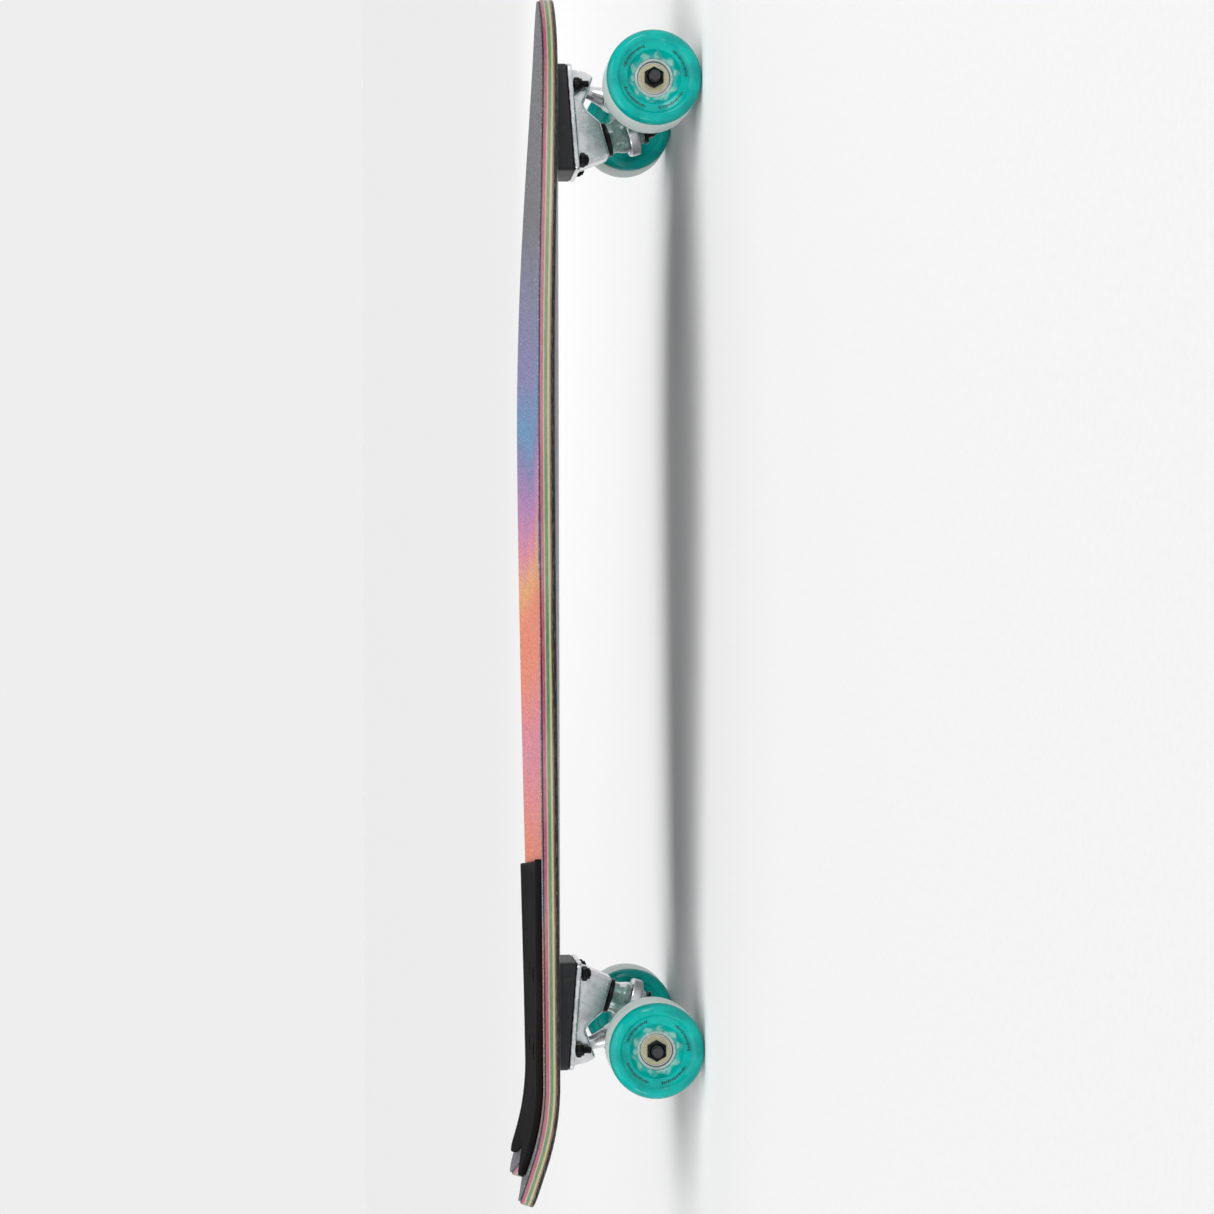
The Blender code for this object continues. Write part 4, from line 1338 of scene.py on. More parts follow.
    def make_board(self, places: Points, head: float, head_depth: float) -> None:
        """Press the plies and counterbore them for the screws.

        Args:
            places: (x, y) of each screw.
            head: radius of the screws' heads.
            head_depth: height of a head.
        """
        bm = self.sheet(self.levels(0, DECK_THICKNESS, 0, self.edge, 5), 40, 100)
        board = make("deck_plies", bm, 50)
        roof = self.bottom + self.grip_lift + GRIP_THICKNESS
        machine(board, drills(places, head + self.gap, roof - head_depth - self.gap, roof + 0.02), 50)
        keep_number(board, "depth", lambda point: 1 - self.lift(point) / DECK_THICKNESS)
        deliver(board, "board", ["deck"], DyedPlies())

    def make_grip(self, places: Points, head: float) -> None:
        """Lay the grip tape, with a hole round each screw's head.

        Args:
            places: (x, y) of each screw.
            head: radius of the heads.
        """
        high = self.grip_lift + GRIP_THICKNESS
        levels = self.levels(self.grip_lift, high, self.grip_inset, self.grip_edge, 2)
        grip = make("grip_sheet", self.sheet(levels, 40, 100), 50)
        machine(grip, drills(places, head + self.gap, self.bottom, self.bottom + 0.03), 50)
        keep_number(grip, "rail", lambda p: self.half_width(p.x, self.grip_inset) - abs(p.y))
        deliver(grip, "board", ["grip_tape"], PrintedGrit())

    def make_pad(self, places: Points) -> None:
        """Mould the tail pad and press its grooves.

        Args:
            places: (x, y) of the rear screws.
        """
        high = self.pad_lift + self.pad_thickness
        levels = self.levels(self.pad_lift, high, self.pad_inset, self.pad_edge, 4)
        pad = make("tail_pad_foam", self.sheet(levels, 300, 50, self.pad_front), 40)
        front, inset, back = self.pad_front, self.pad_inset, self.pad_inset - self.length / 2

        def crown(point: Vector) -> float:
            """Share of the grooves' depth at a point.

            Args:
                point: where it is.

            Returns:
                1 on the open top, falling to 0 at its edges, and 0 elsewhere.
            """
            if self.lift(point) < high - 0.0002:
                return 0.0
            side = self.half_width(point.x, inset) - abs(point.y)
            skew = self.pad_slant * (point.y / self.pad_half + 1) / 2
            ends = min(front - skew - point.x, point.x - back - self.notch(point.x, point.y, inset))
            return max(0.0, min(1.0, (min(side, ends) - self.groove_margin) / self.groove_fade))

        keep_number(pad, "crown", crown)
        groove_recipe("pad_grooves", PadFoam(), {
            "Pitch": self.groove_pitch, "Depth": self.groove_depth, "Narrow": 3.0}).run(pad)
        machine(pad, drills(places, self.pad_hole, self.bottom, self.bottom + 0.04), 40)
        deliver(pad, "board", ["tail_pad"], PadFoam())


# ---- wheels ---------------------------------------------------------------------------------
@dataclass
class Wheel:
    """One wheel with its core, bearings, spacer, washers and axle nut."""

    name: str
    way: int
    steering: str
    radius: float = 0.0325
    half: float = 0.0215
    core_radius: float = 0.0132
    tooth_reach: float = 0.0168
    teeth: int = 10
    bearing_radius: float = 0.0110
    bearing_width: float = 0.0070
    bearing_offset: float = 0.0085
    race_radius: float = 0.0054
    spacer_radius: float = 0.0050
    washer_radius: float = 0.0062
    washer_thickness: float = 0.0010
    nut_flats: float = 0.0127
    nut_height: float = 0.0062
    nut_seat: float = 0.0132
    dish_inner: tuple[float, float] = (0.0190, 0.01845)
    dish_outer: tuple[float, float] = (0.0232, 0.01935)
    mark_radius: float = 0.0214
    gap: float = 0.0003

    def __post_init__(self) -> None:
        """Stand the wheel where its frame node is, with its Z pointing away from the board."""
        low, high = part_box(f"{self.name}_wheel")
        self.place = along((low + high) / 2, (0, self.way, 0))
        self.roller = f"{self.name}_{Body.ROLLER.value}"

    def tyre_profile(self) -> Points:
        """Profile of the urethane: rounded lips, a step, and a dish down to the core."""
        lip = [(self.radius, 0.0148), (0.03235, 0.0164), (0.0318, 0.0180), (0.0309, 0.0194),
               (0.0298, 0.0204), (0.0286, 0.0211), (0.0276, 0.0214), (0.0266, self.half),
               (0.0257, 0.02128), (0.0249, 0.0207), (0.0243, 0.0200), (0.0238, 0.01955),
               self.dish_outer, self.dish_inner, (0.0185, 0.0182), (0.0180, 0.0174),
               (0.0174, 0.0166), (0.0160, 0.0153), (0.0147, 0.0144), (0.0138, 0.0140),
               (self.core_radius + 0.0001, 0.0139)]
        tread = [(self.radius, 0.0), (self.radius, 0.0074)]
        return doubled(tread + lip)

    def make_tyre(self) -> None:
        """Pour the urethane."""
        tyre = make(f"{self.name}_tyre", lathe(self.tyre_profile(), self.place, 120), 40)
        keep_place(tyre, self.place)
        deliver(tyre, self.roller, [f"{self.name}_wheel"], URETHANE)

    def make_core(self) -> None:
        """Mould the toothed core that the urethane grips."""
        bore, pocket, deep = self.bearing_radius + self.gap, 0.0135, 0.0050
        half = [(bore + 0.0002, pocket + 0.0001), (self.core_radius - 0.0003, pocket + 0.0001),
                (self.core_radius, pocket - 0.0003)]
        inner = [(0.0090, deep), (bore, deep), (bore, pocket - 0.0001)]
        profile = doubled(half) + [(r, -h) for r, h in reversed(inner)] + inner
        reach, tall = self.tooth_reach - self.core_radius + self.gap, pocket - self.gap
        tooth = rounded([(0.0, -0.0019), (reach, -0.0014), (reach, 0.0014), (0.0, 0.0019)], 0.0009, 3)
        teeth = make(f"{self.name}_teeth", prism(tooth, -tall, tall))
        ring_recipe("core_teeth", CORE, {
            "Count": self.teeth, "Radius": self.core_radius - 0.0004, "Height": 0.0,
            "First angle": 0.2, "Step angle": 2 * pi / self.teeth, "Between": 1.0}).run(teeth)
        bm = lathe(profile, sides=96)
        bm.from_mesh(teeth.data)
        bpy.data.objects.remove(teeth)
        bm.transform(self.place)
        deliver(make(f"{self.name}_core", bm), self.roller, finish=CORE)

    def make_marks(self) -> None:
        """Print the graduated marks round the outer face."""
        inner, outer = Vector(self.dish_inner), Vector(self.dish_outer)
        slope = atan2(outer.y - inner.y, outer.x - inner.x)
        height = inner.y + (self.mark_radius - inner.x) * tan(slope)
        mark = rounded(rectangle(0.0021, 0.00085), 0.0001, 2)
        whole = bmesh.new()
        for number, first in enumerate((0.35, 1.95, 3.30, 4.75)):
            bit = make(f"{self.name}_marks_{number}",
                       prism(mark, -0.00010, 0.00008, Matrix.Rotation(-slope, 4, "Y")))
            ring_recipe("face_marks", PrintInk(), {
                "Count": 14, "Radius": self.mark_radius, "Height": height,
                "First angle": first, "Step angle": 0.068, "Between": 0.6}).run(bit)
            whole.from_mesh(bit.data)
            bpy.data.objects.remove(bit)
        whole.transform(self.place)
        deliver(make(f"{self.name}_marks", whole), self.roller, finish=PrintInk())

    def make_bearing(self, side: str, offset: float) -> None:
        """Turn a bearing: races, and a recessed shield on each side.

        Args:
            side: inner or outer.
            offset: distance of its middle from the wheel's, along the axle.
        """
        half, soft, inner = self.bearing_width / 2, 0.0003, self.race_radius
        shield = half - 0.0004
        upper = [(self.bearing_radius, half - soft), (self.bearing_radius - soft, half), (0.0101, half),
                 (0.0100, shield), (0.0097, shield + 0.0002), (inner + 0.0006, shield + 0.0002),
                 (inner + 0.0003, shield - 0.0002), (inner, shield - 0.0002), (inner, half),
                 (AXLE_RADIUS + soft, half), (AXLE_RADIUS + 0.0001, half - soft)]
        steps = [0, 0, 0, 1, 1, 1, 1, 0, 0, 0]
        bands = [*steps, 0, *reversed(steps), 0]
        place = self.place @ Matrix.Translation((0, 0, offset))
        bearing = make(f"{self.name}_{side}_race", lathe(doubled(upper), place, 96, bands), 30)
        keep_place(bearing, place)
        for finish in (RACE_STEEL, BearingShield()):
            bearing.data.materials.append(finish.material())
        deliver(bearing, self.roller, [f"{self.name}_{side}_bearing"])

    def make_small_parts(self) -> None:
        """Turn the spacer between the bearings, the two speed washers and the axle nut."""
        loose = 0.0001
        bore = AXLE_RADIUS + loose
        end = self.bearing_offset - self.bearing_width / 2 - loose
        tube = sleeve(bore, self.spacer_radius, -end, end, 0.0003)
        spacer = make(f"{self.name}_spacer", lathe(tube, self.place, 60))
        deliver(spacer, self.roller, finish=ZINC)
        face = self.bearing_offset + self.bearing_width / 2 + loose
        for side, low in (("inner", -face - self.washer_thickness), ("outer", face)):
            disc = sleeve(bore, self.washer_radius, low, low + self.washer_thickness, 0.0002)
            washer = make(f"{self.name}_{side}_speed_washer", lathe(disc, self.place, 60))
            deliver(washer, self.steering, finish=ZINC)
        profile = hex_nut(self.nut_flats, bore, self.nut_height, self.nut_height * 0.28)
        seat = self.place @ Matrix.Translation((0, 0, self.nut_seat))
        nut = make(f"{self.name}_lock_nut", lathe(profile, seat, 72), 25)
        deliver(nut, self.steering, [f"{self.name}_axle_nut"], BLACK_STEEL)

    def build(self) -> None:
        """Build every piece of the wheel."""
        self.make_tyre()
        self.make_core()
        self.make_marks()
        self.make_bearing("inner", -self.bearing_offset)
        self.make_bearing("outer", self.bearing_offset)
        self.make_small_parts()


# ---- trucks ---------------------------------------------------------------------------------
@dataclass
class Truck:
    """One truck: riser, baseplate, kingpin with its bushings, hanger, axle and two wheels."""

    name: str
    plate_height: float = 0.0501
    plate_length: float = 0.0760
    plate_width: float = 0.0560
    plate_thickness: float = 0.0037
    plate_outboard: float = 0.0260
    hump_half: float = 0.0128
    hump_nose: float = 0.0090
    hump_heel: float = 0.0072
    hump_toe: float = 0.0118
    hump_back: float = 0.0132
    hump_bow: float = 0.0060
    boss_height: float = 0.0185
    riser_thin: float = 0.0070
    riser_thick: float = 0.0128
    bolt_long: float = 0.05398
    bolt_wide: float = 0.04128
    bolt_middle: float = -0.0147
    screw_radius: float = 0.00238
    head_radius: float = 0.0048
    head_height: float = 0.0026
    screw_tip: float = 0.0032
    mount_nut_flats: float = 0.0092
    mount_nut_height: float = 0.0058
    spot_face: float = 0.0064
    ring_at: tuple[float, float, float] = (-0.0185, 0, 0.0060)
    ring_radius: float = 0.0165
    ring_half: float = 0.0042
    ring_bore: float = 0.0068
    seat_depth: float = 0.0014
    pivot_reach: float = 0.0476
    pivot_angle: float = radians(49.1)
    pivot_ball: float = 0.0058
    cup_wall: float = 0.0017
    cup_mouth: float = 0.0064
    stub_tilt: float = radians(19)
    stub_neck: float = 0.0045
    stub_root: float = 0.0072
    stub_length: float = 0.0190
    kingpin_tilt: float = radians(16.5)
    kingpin_radius: float = 0.00476
    kingpin_flats: float = 0.0143
    kingpin_head: float = 0.0058
    kingpin_sink: float = 0.0026
    kingpin_nut: float = 0.0072
    kingpin_tail: float = 0.0022
    kingpin_thread: float = 0.0125
    kingpin_pitch: float = 0.00106
    board_bushing: float = 0.0122
    road_bushing: float = 0.0046
    bushing_wide: float = 0.0126
    bushing_slim: float = 0.0108
    washer_thickness: float = 0.0022
    board_washer: float = 0.0125
    road_washer: float = 0.0106
    barrel_radius: float = 0.0115
    barrel_end: float = 0.0078
    hanger_half: float = 0.0800
    axle_thread: float = 0.0110
    web_half: float = 0.0072
    wing_reach: float = 0.0580
    wing_height: float = 0.0052
    wing_half: float = 0.0033
    steer_limit: float = radians(15)
    screw_pitch: float = 0.00080
    screw_socket: float = 0.0031
    gap: float = 0.0003
    run: float = 0.0005

    def __post_init__(self) -> None:
        """Place the truck from its axle in the frame, and work out its axes."""
        low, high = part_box(f"{self.name}_axle")
        middle = (low + high) / 2
        self.axle_end = high.y
        turn = 0.0 if self.name == "front" else pi
        self.place = Matrix.Translation(middle) @ Matrix.Rotation(turn, 4, "Z")
        self.deck_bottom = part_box("deck")[0].z - middle.z
        self.slope = (self.riser_thick - self.riser_thin) / self.plate_length
        self.head_top = self.deck_bottom + DECK_THICKNESS + self.gap + GRIP_THICKNESS
        self.ring_centre = Vector(self.ring_at)
        self.kingpin_up = Vector((-sin(self.kingpin_tilt), 0, cos(self.kingpin_tilt)))
        self.level = Vector((cos(self.kingpin_tilt), 0, sin(self.kingpin_tilt)))
        self.pivot_axis = Vector((cos(self.pivot_angle), 0, sin(self.pivot_angle)))
        self.pivot_centre = self.ring_centre + self.pivot_reach * self.pivot_axis
        self.stub_down = Vector((-sin(self.stub_tilt), 0, -cos(self.stub_tilt)))
        self.stub_across = Vector((cos(self.stub_tilt), 0, -sin(self.stub_tilt)))
        stack = self.gap * 3 + self.washer_thickness
        self.board_seat = self.ring_half + stack + self.board_bushing
        self.road_seat = self.ring_half + stack + self.road_bushing
        self.kingpin_place = along(self.ring_centre, self.kingpin_up)
        self.side_on = Matrix.Rotation(pi / 2, 4, "X")
        self.sideways = along((0, 0, 0), (0, 1, 0))
        self.board = Body.BOARD.value
        self.steering = f"{self.name}_{Body.STEERING.value}"

    def plate_top(self, x: float) -> float:
        """Height of the baseplate's sloping top."""
        return self.plate_height + self.slope * (x - self.bolt_middle)

    def bolts(self) -> Points:
        """The four bolt places in the truck's frame."""
        return [(self.bolt_middle + sx * self.bolt_long / 2, sy * self.bolt_wide / 2)
                for sx in (1, -1) for sy in (1, -1)]

    def world_bolts(self) -> Points:
        """The four bolt places on the board."""
        return [tuple(self.place @ Vector((x, y, 0)))[:2] for x, y in self.bolts()]

    def named(self, *words: str) -> list[str]:
        """Frame nodes of this truck."""
        return [f"{self.name}_{word}" for word in words]

    def put(self, bm: Shape) -> Shape:
        """Move a shape drawn in the truck's frame to its place on the board."""
        bm.transform(self.place)
        return bm

    def found(self, word: str, solids: Sequence[Shape], cutters: Sequence[Shape], body: str) -> None:
        """Cast a piece of aluminium and machine it.

        Args:
            word: the node's name after the truck's.
            solids: shapes that it is cast from, in the truck's frame.
            cutters: shapes that are cut from it, in the truck's frame.
            body: body that it moves with.
        """
        piece = cast(f"{self.name}_{word}_casting", map(self.put, solids))
        machine(piece, map(self.put, cutters), 30)
        deliver(piece, body, self.named(word), ALUMINIUM)

    def bolt_holes(self, low: float, high: float) -> list[Shape]:
        """Cutters for the four bolt holes, in the truck's frame."""
        return drills(self.bolts(), self.screw_radius + self.gap, low, high, 40)

    def footprint(self, inset: float = 0.0) -> Points:
        """Outline of the baseplate and riser.

        Args:
            inset: how far it is drawn in.

        Returns:
            The outline.
        """
        middle = self.plate_outboard - self.plate_length / 2
        corners = rectangle(self.plate_length - 2 * inset, self.plate_width - 2 * inset, middle)
        return rounded(corners, 0.0060, 8)

    def make_riser(self) -> None:
        """Mould the wedge under the deck, with a rounded rim and bolt holes."""
        soft = 0.0005
        roof, top = self.deck_bottom - self.gap, self.plate_top
        rim, flat = self.footprint(), self.footprint(soft)
        loops = [[(x, y, top(x) + self.gap) for x, y in flat],
                 [(x, y, top(x) + self.gap + soft) for x, y in rim],
                 [(x, y, roof - soft) for x, y in rim], [(x, y, roof) for x, y in flat]]
        riser = make(f"{self.name}_riser_wedge", self.put(stack(loops)), 40)
        machine(riser, map(self.put, self.bolt_holes(0.03, roof + 0.01)), 40)
        deliver(riser, self.board, self.named("riser_pad"), RISER_RUBBER)

    def hump_outline(self) -> Points:
        """Side view of the baseplate's hump: pivot housing, a hollow curve, kingpin seat."""
        mouth = self.pivot_centre + self.cup_mouth * self.stub_down
        nose, heel = mouth + self.hump_nose * self.stub_across, mouth - self.hump_heel * self.stub_across
        seat = self.ring_centre + self.board_seat * self.kingpin_up
        toe, back = seat + self.hump_toe * self.level, seat - self.hump_back * self.level
        sink, inboard = 0.0016, self.plate_outboard - self.plate_length + 0.0030
        points = [(self.plate_outboard - 0.0010, self.plate_top(self.plate_outboard) - sink),
                  (nose.x + 0.0035, nose.z + 0.0062), (nose.x, nose.z), (heel.x, heel.z)]
        for i in range(1, 12):
            share = i / 12
            bow = self.hump_bow * sin(pi * share)
            point = heel.lerp(toe, share)
            points.append((point.x + bow * 0.35, point.z + bow))
        points += [(toe.x, toe.z), (back.x, back.z), (inboard, self.plate_top(inboard) - sink)]
        return rounded(points, 0.0016, 3)

    def make_baseplate(self) -> None:
        """Cast the baseplate, then bore it and face its bolt seats."""
        cup = self.pivot_ball + self.run + self.cup_wall
        slab = prism(self.footprint(), lambda x: self.plate_top(x) - self.plate_thickness, self.plate_top)
        hump = prism(self.hump_outline(), -self.hump_half, self.hump_half, self.side_on)
        boss = cylinder(self.bushing_wide, self.board_seat, self.board_seat + self.boss_height,
                        self.kingpin_place)
        housing = lathe([(0, -self.cup_mouth), (0.0092, -self.cup_mouth), (0.0104, 0.0080), (0, 0.0080)],
                        along(self.pivot_centre, -self.stub_down))
        bore = lathe([(0, cup + self.gap), (cup * 0.7, cup * 0.8), (cup + self.gap, self.pivot_ball * 0.75),
                      (cup + self.gap, -self.cup_mouth - 0.01), (0, -self.cup_mouth - 0.01)],
                     along(self.pivot_centre, -self.stub_down))
        pin = self.kingpin_radius + self.gap
        kingpin = cylinder(pin, 0, 0.08, self.kingpin_place)
        head, low = self.kingpin_flats / 2 / cos(pi / 6) + self.gap, self.head_seat()
        pocket = cylinder(head, low, low + 0.02, self.kingpin_place)
        facing = prism(rectangle(0.2, 0.2), self.plate_top, lambda x: self.plate_top(x) + 0.02)
        under = cylinder(0.02, self.board_seat - 0.012, self.board_seat, self.kingpin_place)
        spots = [lathe([(0, 0.03), (self.spot_face + 0.0006, 0.03), (self.spot_face, self.nut_seat(x)),
                        (0, self.nut_seat(x))], Matrix.Translation((x, y, 0))) for x, y in self.bolts()]
        self.found("baseplate", [slab, hump, boss, housing],
                   [bore, kingpin, pocket, facing, under, *self.bolt_holes(0.03, 0.07), *spots],
                   self.board)

    def head_seat(self) -> float:
        """Distance of the kingpin head's seat above the ring's centre, along the kingpin."""
        rise = self.plate_height - self.ring_centre.z
        lean = self.kingpin_up.x / self.kingpin_up.z
        top = self.plate_top(self.ring_centre.x + rise * lean) - self.ring_centre.z
        return top / self.kingpin_up.z - self.kingpin_head - self.kingpin_sink

    def nut_seat(self, x: float) -> float:
        """Height of the level spot face that a mounting nut seats on."""
        return self.plate_top(x - self.spot_face) - self.plate_thickness

    def make_pivot_cup(self) -> None:
        """Turn the urethane cup that the pivot ball sits in."""
        inner = self.pivot_ball + self.run
        outer = inner + self.cup_wall
        profile = [(0, outer), (outer * 0.40, outer * 0.92), (outer * 0.75, outer * 0.72),
                   (outer, self.pivot_ball * 0.6), (outer, 0.0004 - self.cup_mouth),
                   (outer - 0.0004, -self.cup_mouth), (inner + 0.0003, -self.cup_mouth),
                   (inner, 0.0004 - self.cup_mouth)]
        profile += [(inner * cos(pi / 2 * i / 12), inner * sin(pi / 2 * i / 12)) for i in range(12)]
        profile.append((0, inner))
        turned = self.put(lathe(profile, along(self.pivot_centre, -self.stub_down), 60))
        cup = make(f"{self.name}_pivot_bush", turned)
        deliver(cup, self.board, self.named("pivot_cup"), CUP_URETHANE)

    def make_kingpin(self) -> None:
        """Turn the kingpin with its hexagonal head and threaded end, and its lock nut."""
        end = -self.road_seat - self.kingpin_nut - self.kingpin_tail
        seat = self.head_seat() + self.gap
        r, corner = self.kingpin_radius, self.kingpin_flats / 2 / cos(pi / 6)
        flats = self.kingpin_flats
        profile = [(0, end), (r - 0.0007, end), (r - 0.0001, end + 0.0006), (r - 0.0001, 0.0), (r, 0.001),
                   (r, seat), (flats * 0.47, seat, flats), (corner, seat + 0.0006, flats),
                   (corner, seat + 0.0050, flats), (flats * 0.46, seat + self.kingpin_head, flats),
                   (0, seat + self.kingpin_head)]
        pin = make(f"{self.name}_kingpin_bolt", lathe(profile, sides=60))
        length = self.kingpin_thread
        thread_recipe("kingpin_thread", BLACK_STEEL, {
            "Radius": r - 0.00022, "Turns": length / self.kingpin_pitch, "Length": length,
            "Start": end + 0.0004, "Ridge": 0.00036}).run(pin)
        pin.data.transform(self.place @ self.kingpin_place)
        shade(pin, 30)
        deliver(pin, self.board, self.named("kingpin"), BLACK_STEEL)
        down = along(self.ring_centre - self.road_seat * self.kingpin_up, -self.kingpin_up)
        nut = lathe(hex_nut(flats, r + self.gap, self.kingpin_nut, 0.0020), down)
        deliver(make(f"{self.name}_kingpin_lock_nut", self.put(nut), 25), self.board,
                self.named("kingpin_nut"), BLACK_STEEL)

    def make_washers(self) -> None:
        """Press the cupped and the flat washer."""
        bore, top = self.kingpin_radius + self.gap, self.board_seat - self.gap
        r, thick = self.board_washer, self.washer_thickness
        cupped = [(bore, top), (r - 0.0012, top), (r - 0.0004, top - 0.0003), (r, top - 0.0010),
                  (r, top - thick - 0.0009), (r - 0.0004, top - thick - 0.0012),
                  (r - 0.0009, top - thick - 0.0009), (r - 0.0013, top - thick), (bore, top - thick)]
        r, low = self.road_washer, self.gap - self.road_seat
        flat = [(bore, low + thick), (r - 0.0002, low + thick), (r, low + thick - 0.0003),
                (r, low + 0.0006), (r - 0.0006, low), (bore, low)]
        for side, profile in (("boardside", cupped), ("roadside", flat)):
            pressed = self.put(lathe(profile, self.kingpin_place, 96))
            washer = make(f"{self.name}_{side}_cup_washer", pressed)
            deliver(washer, self.board, self.named(f"{side}_washer"), BLACK_STEEL)

    def make_bushings(self) -> None:
        """Pour the two bushings."""
        bore, foot = self.kingpin_radius + self.gap, self.ring_half - self.seat_depth + self.gap
        high = foot + self.seat_depth + self.board_bushing
        wide, slim = self.bushing_wide, self.bushing_slim
        upper = [(bore, high), (slim - 0.0006, high), (slim, high - 0.0006), (slim, high - 0.0034)]
        upper += [(slim + (wide - slim) * (0.5 - 0.5 * cos(pi * i / 8)), high - 0.0034 - 0.0070 * i / 8)
                  for i in range(1, 9)]
        upper += [(wide, foot + 0.0004), (wide - 0.0004, foot), (bore + 0.0016, foot)]
        deep = -foot - self.seat_depth - self.road_bushing
        lower = [(bore + 0.0010, -foot), (slim - 0.0004, -foot), (slim, -foot - 0.0004),
                 (slim, -foot - self.seat_depth - 0.0006), (0.0101, -foot - 0.0030),
                 (0.0092, deep + 0.0010), (0.0088, deep + 0.0004), (0.0084, deep), (bore, deep)]
        for side, profile, still, moving in (("boardside", upper, high, foot),
                                             ("roadside", lower, deep, -foot)):
            poured = self.dense(lathe(profile, self.kingpin_place, 84))
            bushing = make(f"{self.name}_{side}_rubber", self.put(poured))
            bushing.data.materials.append(BUSHING.material())
            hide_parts(*self.named(f"{side}_bushing"))
            ends = [self.place @ (self.ring_centre + at * self.kingpin_up) for at in (still, moving)]
            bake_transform(bushing)
            LOG.info("%s: %d faces, from %s to %s", bushing.name, len(bushing.data.polygons),
                     self.board, self.steering)

    @staticmethod
    def dense(bm: Shape) -> Shape:
        """Halve a shape's long edges.

        Args:
            bm: the shape.

        Returns:
            The same shape.
        """
        long = [edge for edge in bm.edges if edge.calc_length() > 0.0022]
        bmesh.ops.subdivide_edges(bm, edges=long, cuts=1, use_grid_fill=True)
        return bm

    def make_hanger(self) -> None:
        """Cast the hanger, then machine its ring, bores and ends."""
        end, b, e = self.hanger_half, self.barrel_radius, self.barrel_end
        shoulder = end - 0.018
        half = [(b, 0.018), (b * 0.97, 0.030), (b * 0.91, 0.044), (b * 0.84, shoulder - 0.004),
                (b * 0.76, shoulder - 0.0012), (e, shoulder), (e, end)]
        barrel = lathe(doubled([(0, end), *reversed(half)]), self.sideways)
        root = self.pivot_centre + self.stub_length * self.stub_down
        width = self.stub_root - 0.0005
        outer, inner = root + width * self.stub_across, root - width * self.stub_across
        near_ring = self.ring_centre + self.level * (self.ring_radius - 0.0010)
        side = [(outer.x, outer.z), (b, 0.0020), (0.0080, -0.0082), (-0.0040, -0.0098),
                (near_ring.x + 0.001, near_ring.z - 0.0070), (near_ring.x, near_ring.z + 0.0024),
                (inner.x - 0.0040, inner.z - 0.0058), (inner.x, inner.z)]
        web = prism(rounded(side, 0.0022, 4), -self.web_half, self.web_half, self.side_on)
        wing = []
        for sign in (1, -1):
            corners = [(b / 2, self.wing_reach), (-b / 2, self.wing_reach),
                       (self.ring_centre.x * 0.8, self.ring_radius + 0.0060),
                       (self.ring_centre.x, self.ring_radius - 0.0015)]
            wing += [(x, sign * y) for x, y in corners[::sign]]
        wings = prism(rounded(wing, 0.0040, 4), self.wing_height - self.wing_half,
                      self.wing_height + self.wing_half)
        rr, rh, soft = self.ring_radius, self.ring_half, 0.0014
        ring = lathe(doubled([(0, rh), (rr - soft, rh), (rr - soft * 0.3, rh - soft * 0.3),
                              (rr, rh - soft)]), self.kingpin_place, 96)
        angles = [pi * i / 24 for i in range(1, 16)]
        ball = [(0, self.pivot_ball), *[(self.pivot_ball * sin(a), self.pivot_ball * cos(a)) for a in angles]]
        stub = lathe([*ball, (self.stub_neck + 0.0004, 0.0010 - self.cup_mouth),
                      (self.stub_neck + 0.0006, -0.0095), (self.stub_root, -self.stub_length),
                      (self.stub_root, -self.stub_length - 0.004), (0, -self.stub_length - 0.004)],
                     along(self.pivot_centre, -self.stub_down))
        self.found("hanger", [barrel, web, wings, ring, stub], self.hanger_cutters(), self.steering)

    def hanger_cutters(self) -> list[Shape]:
        """Cutters for the hanger's ring, bores and ends, in the truck's frame.

        Returns:
            The cutters.
        """
        def drill(radius: float, low: float, high: float, at: Matrix) -> Shape:
            """Cylinder with one more loop just under its top."""
            soft = 0.0004
            return lathe([(0, low), (radius, low), (radius, high - soft), (radius, high), (0, high)], at, 96)

        top = self.ring_half - self.seat_depth
        swing = -self.pivot_axis.cross(self.kingpin_up).y * sin(self.steer_limit)
        clear = self.road_washer + 2 * self.run
        reach = clear + abs(swing) * (self.road_seat + self.run)
        room = rounded(rectangle(2 * reach, 2 * clear), clear - self.run, 8)
        deep = -self.road_seat - self.kingpin_nut - self.kingpin_tail
        cutters = [drill(self.ring_bore, -0.03, 0.03, self.kingpin_place),
                   drill(self.bushing_wide + self.gap, top, 0.02, self.kingpin_place),
                   drill(self.bushing_slim + self.gap, -0.02, -top, self.kingpin_place),
                   prism(room, deep, -self.ring_half, self.kingpin_place),
                   drill(AXLE_RADIUS + self.gap, -0.1, 0.1, self.sideways)]
        for sign in (1, -1):
            ends = sorted((sign * self.hanger_half, sign * (self.hanger_half + 0.01)))
            cutters.append(drill(0.02, *ends, self.sideways))
        return cutters

    def make_axle(self) -> None:
        """Turn the axle and thread its two ends."""
        r, end = AXLE_RADIUS, self.axle_end
        half = [(0, -end), (r - 0.0006, -end), (r - 0.0002, 0.0005 - end), (r - 0.0002, 0.012 - end),
                (r, 0.0125 - end)]
        axle = make(f"{self.name}_axle_rod", lathe(doubled(half), sides=60))
        for start in (self.gap - end, end - self.gap - self.axle_thread):
            thread_recipe("axle_thread", AXLE_STEEL, {
                "Radius": r - 0.00026, "Turns": 10.0, "Length": self.axle_thread, "Start": start,
                "Ridge": 0.00034}).run(axle)
        axle.data.transform(self.place @ self.sideways)
        shade(axle, 30)
        deliver(axle, self.steering, self.named("axle"), AXLE_STEEL)

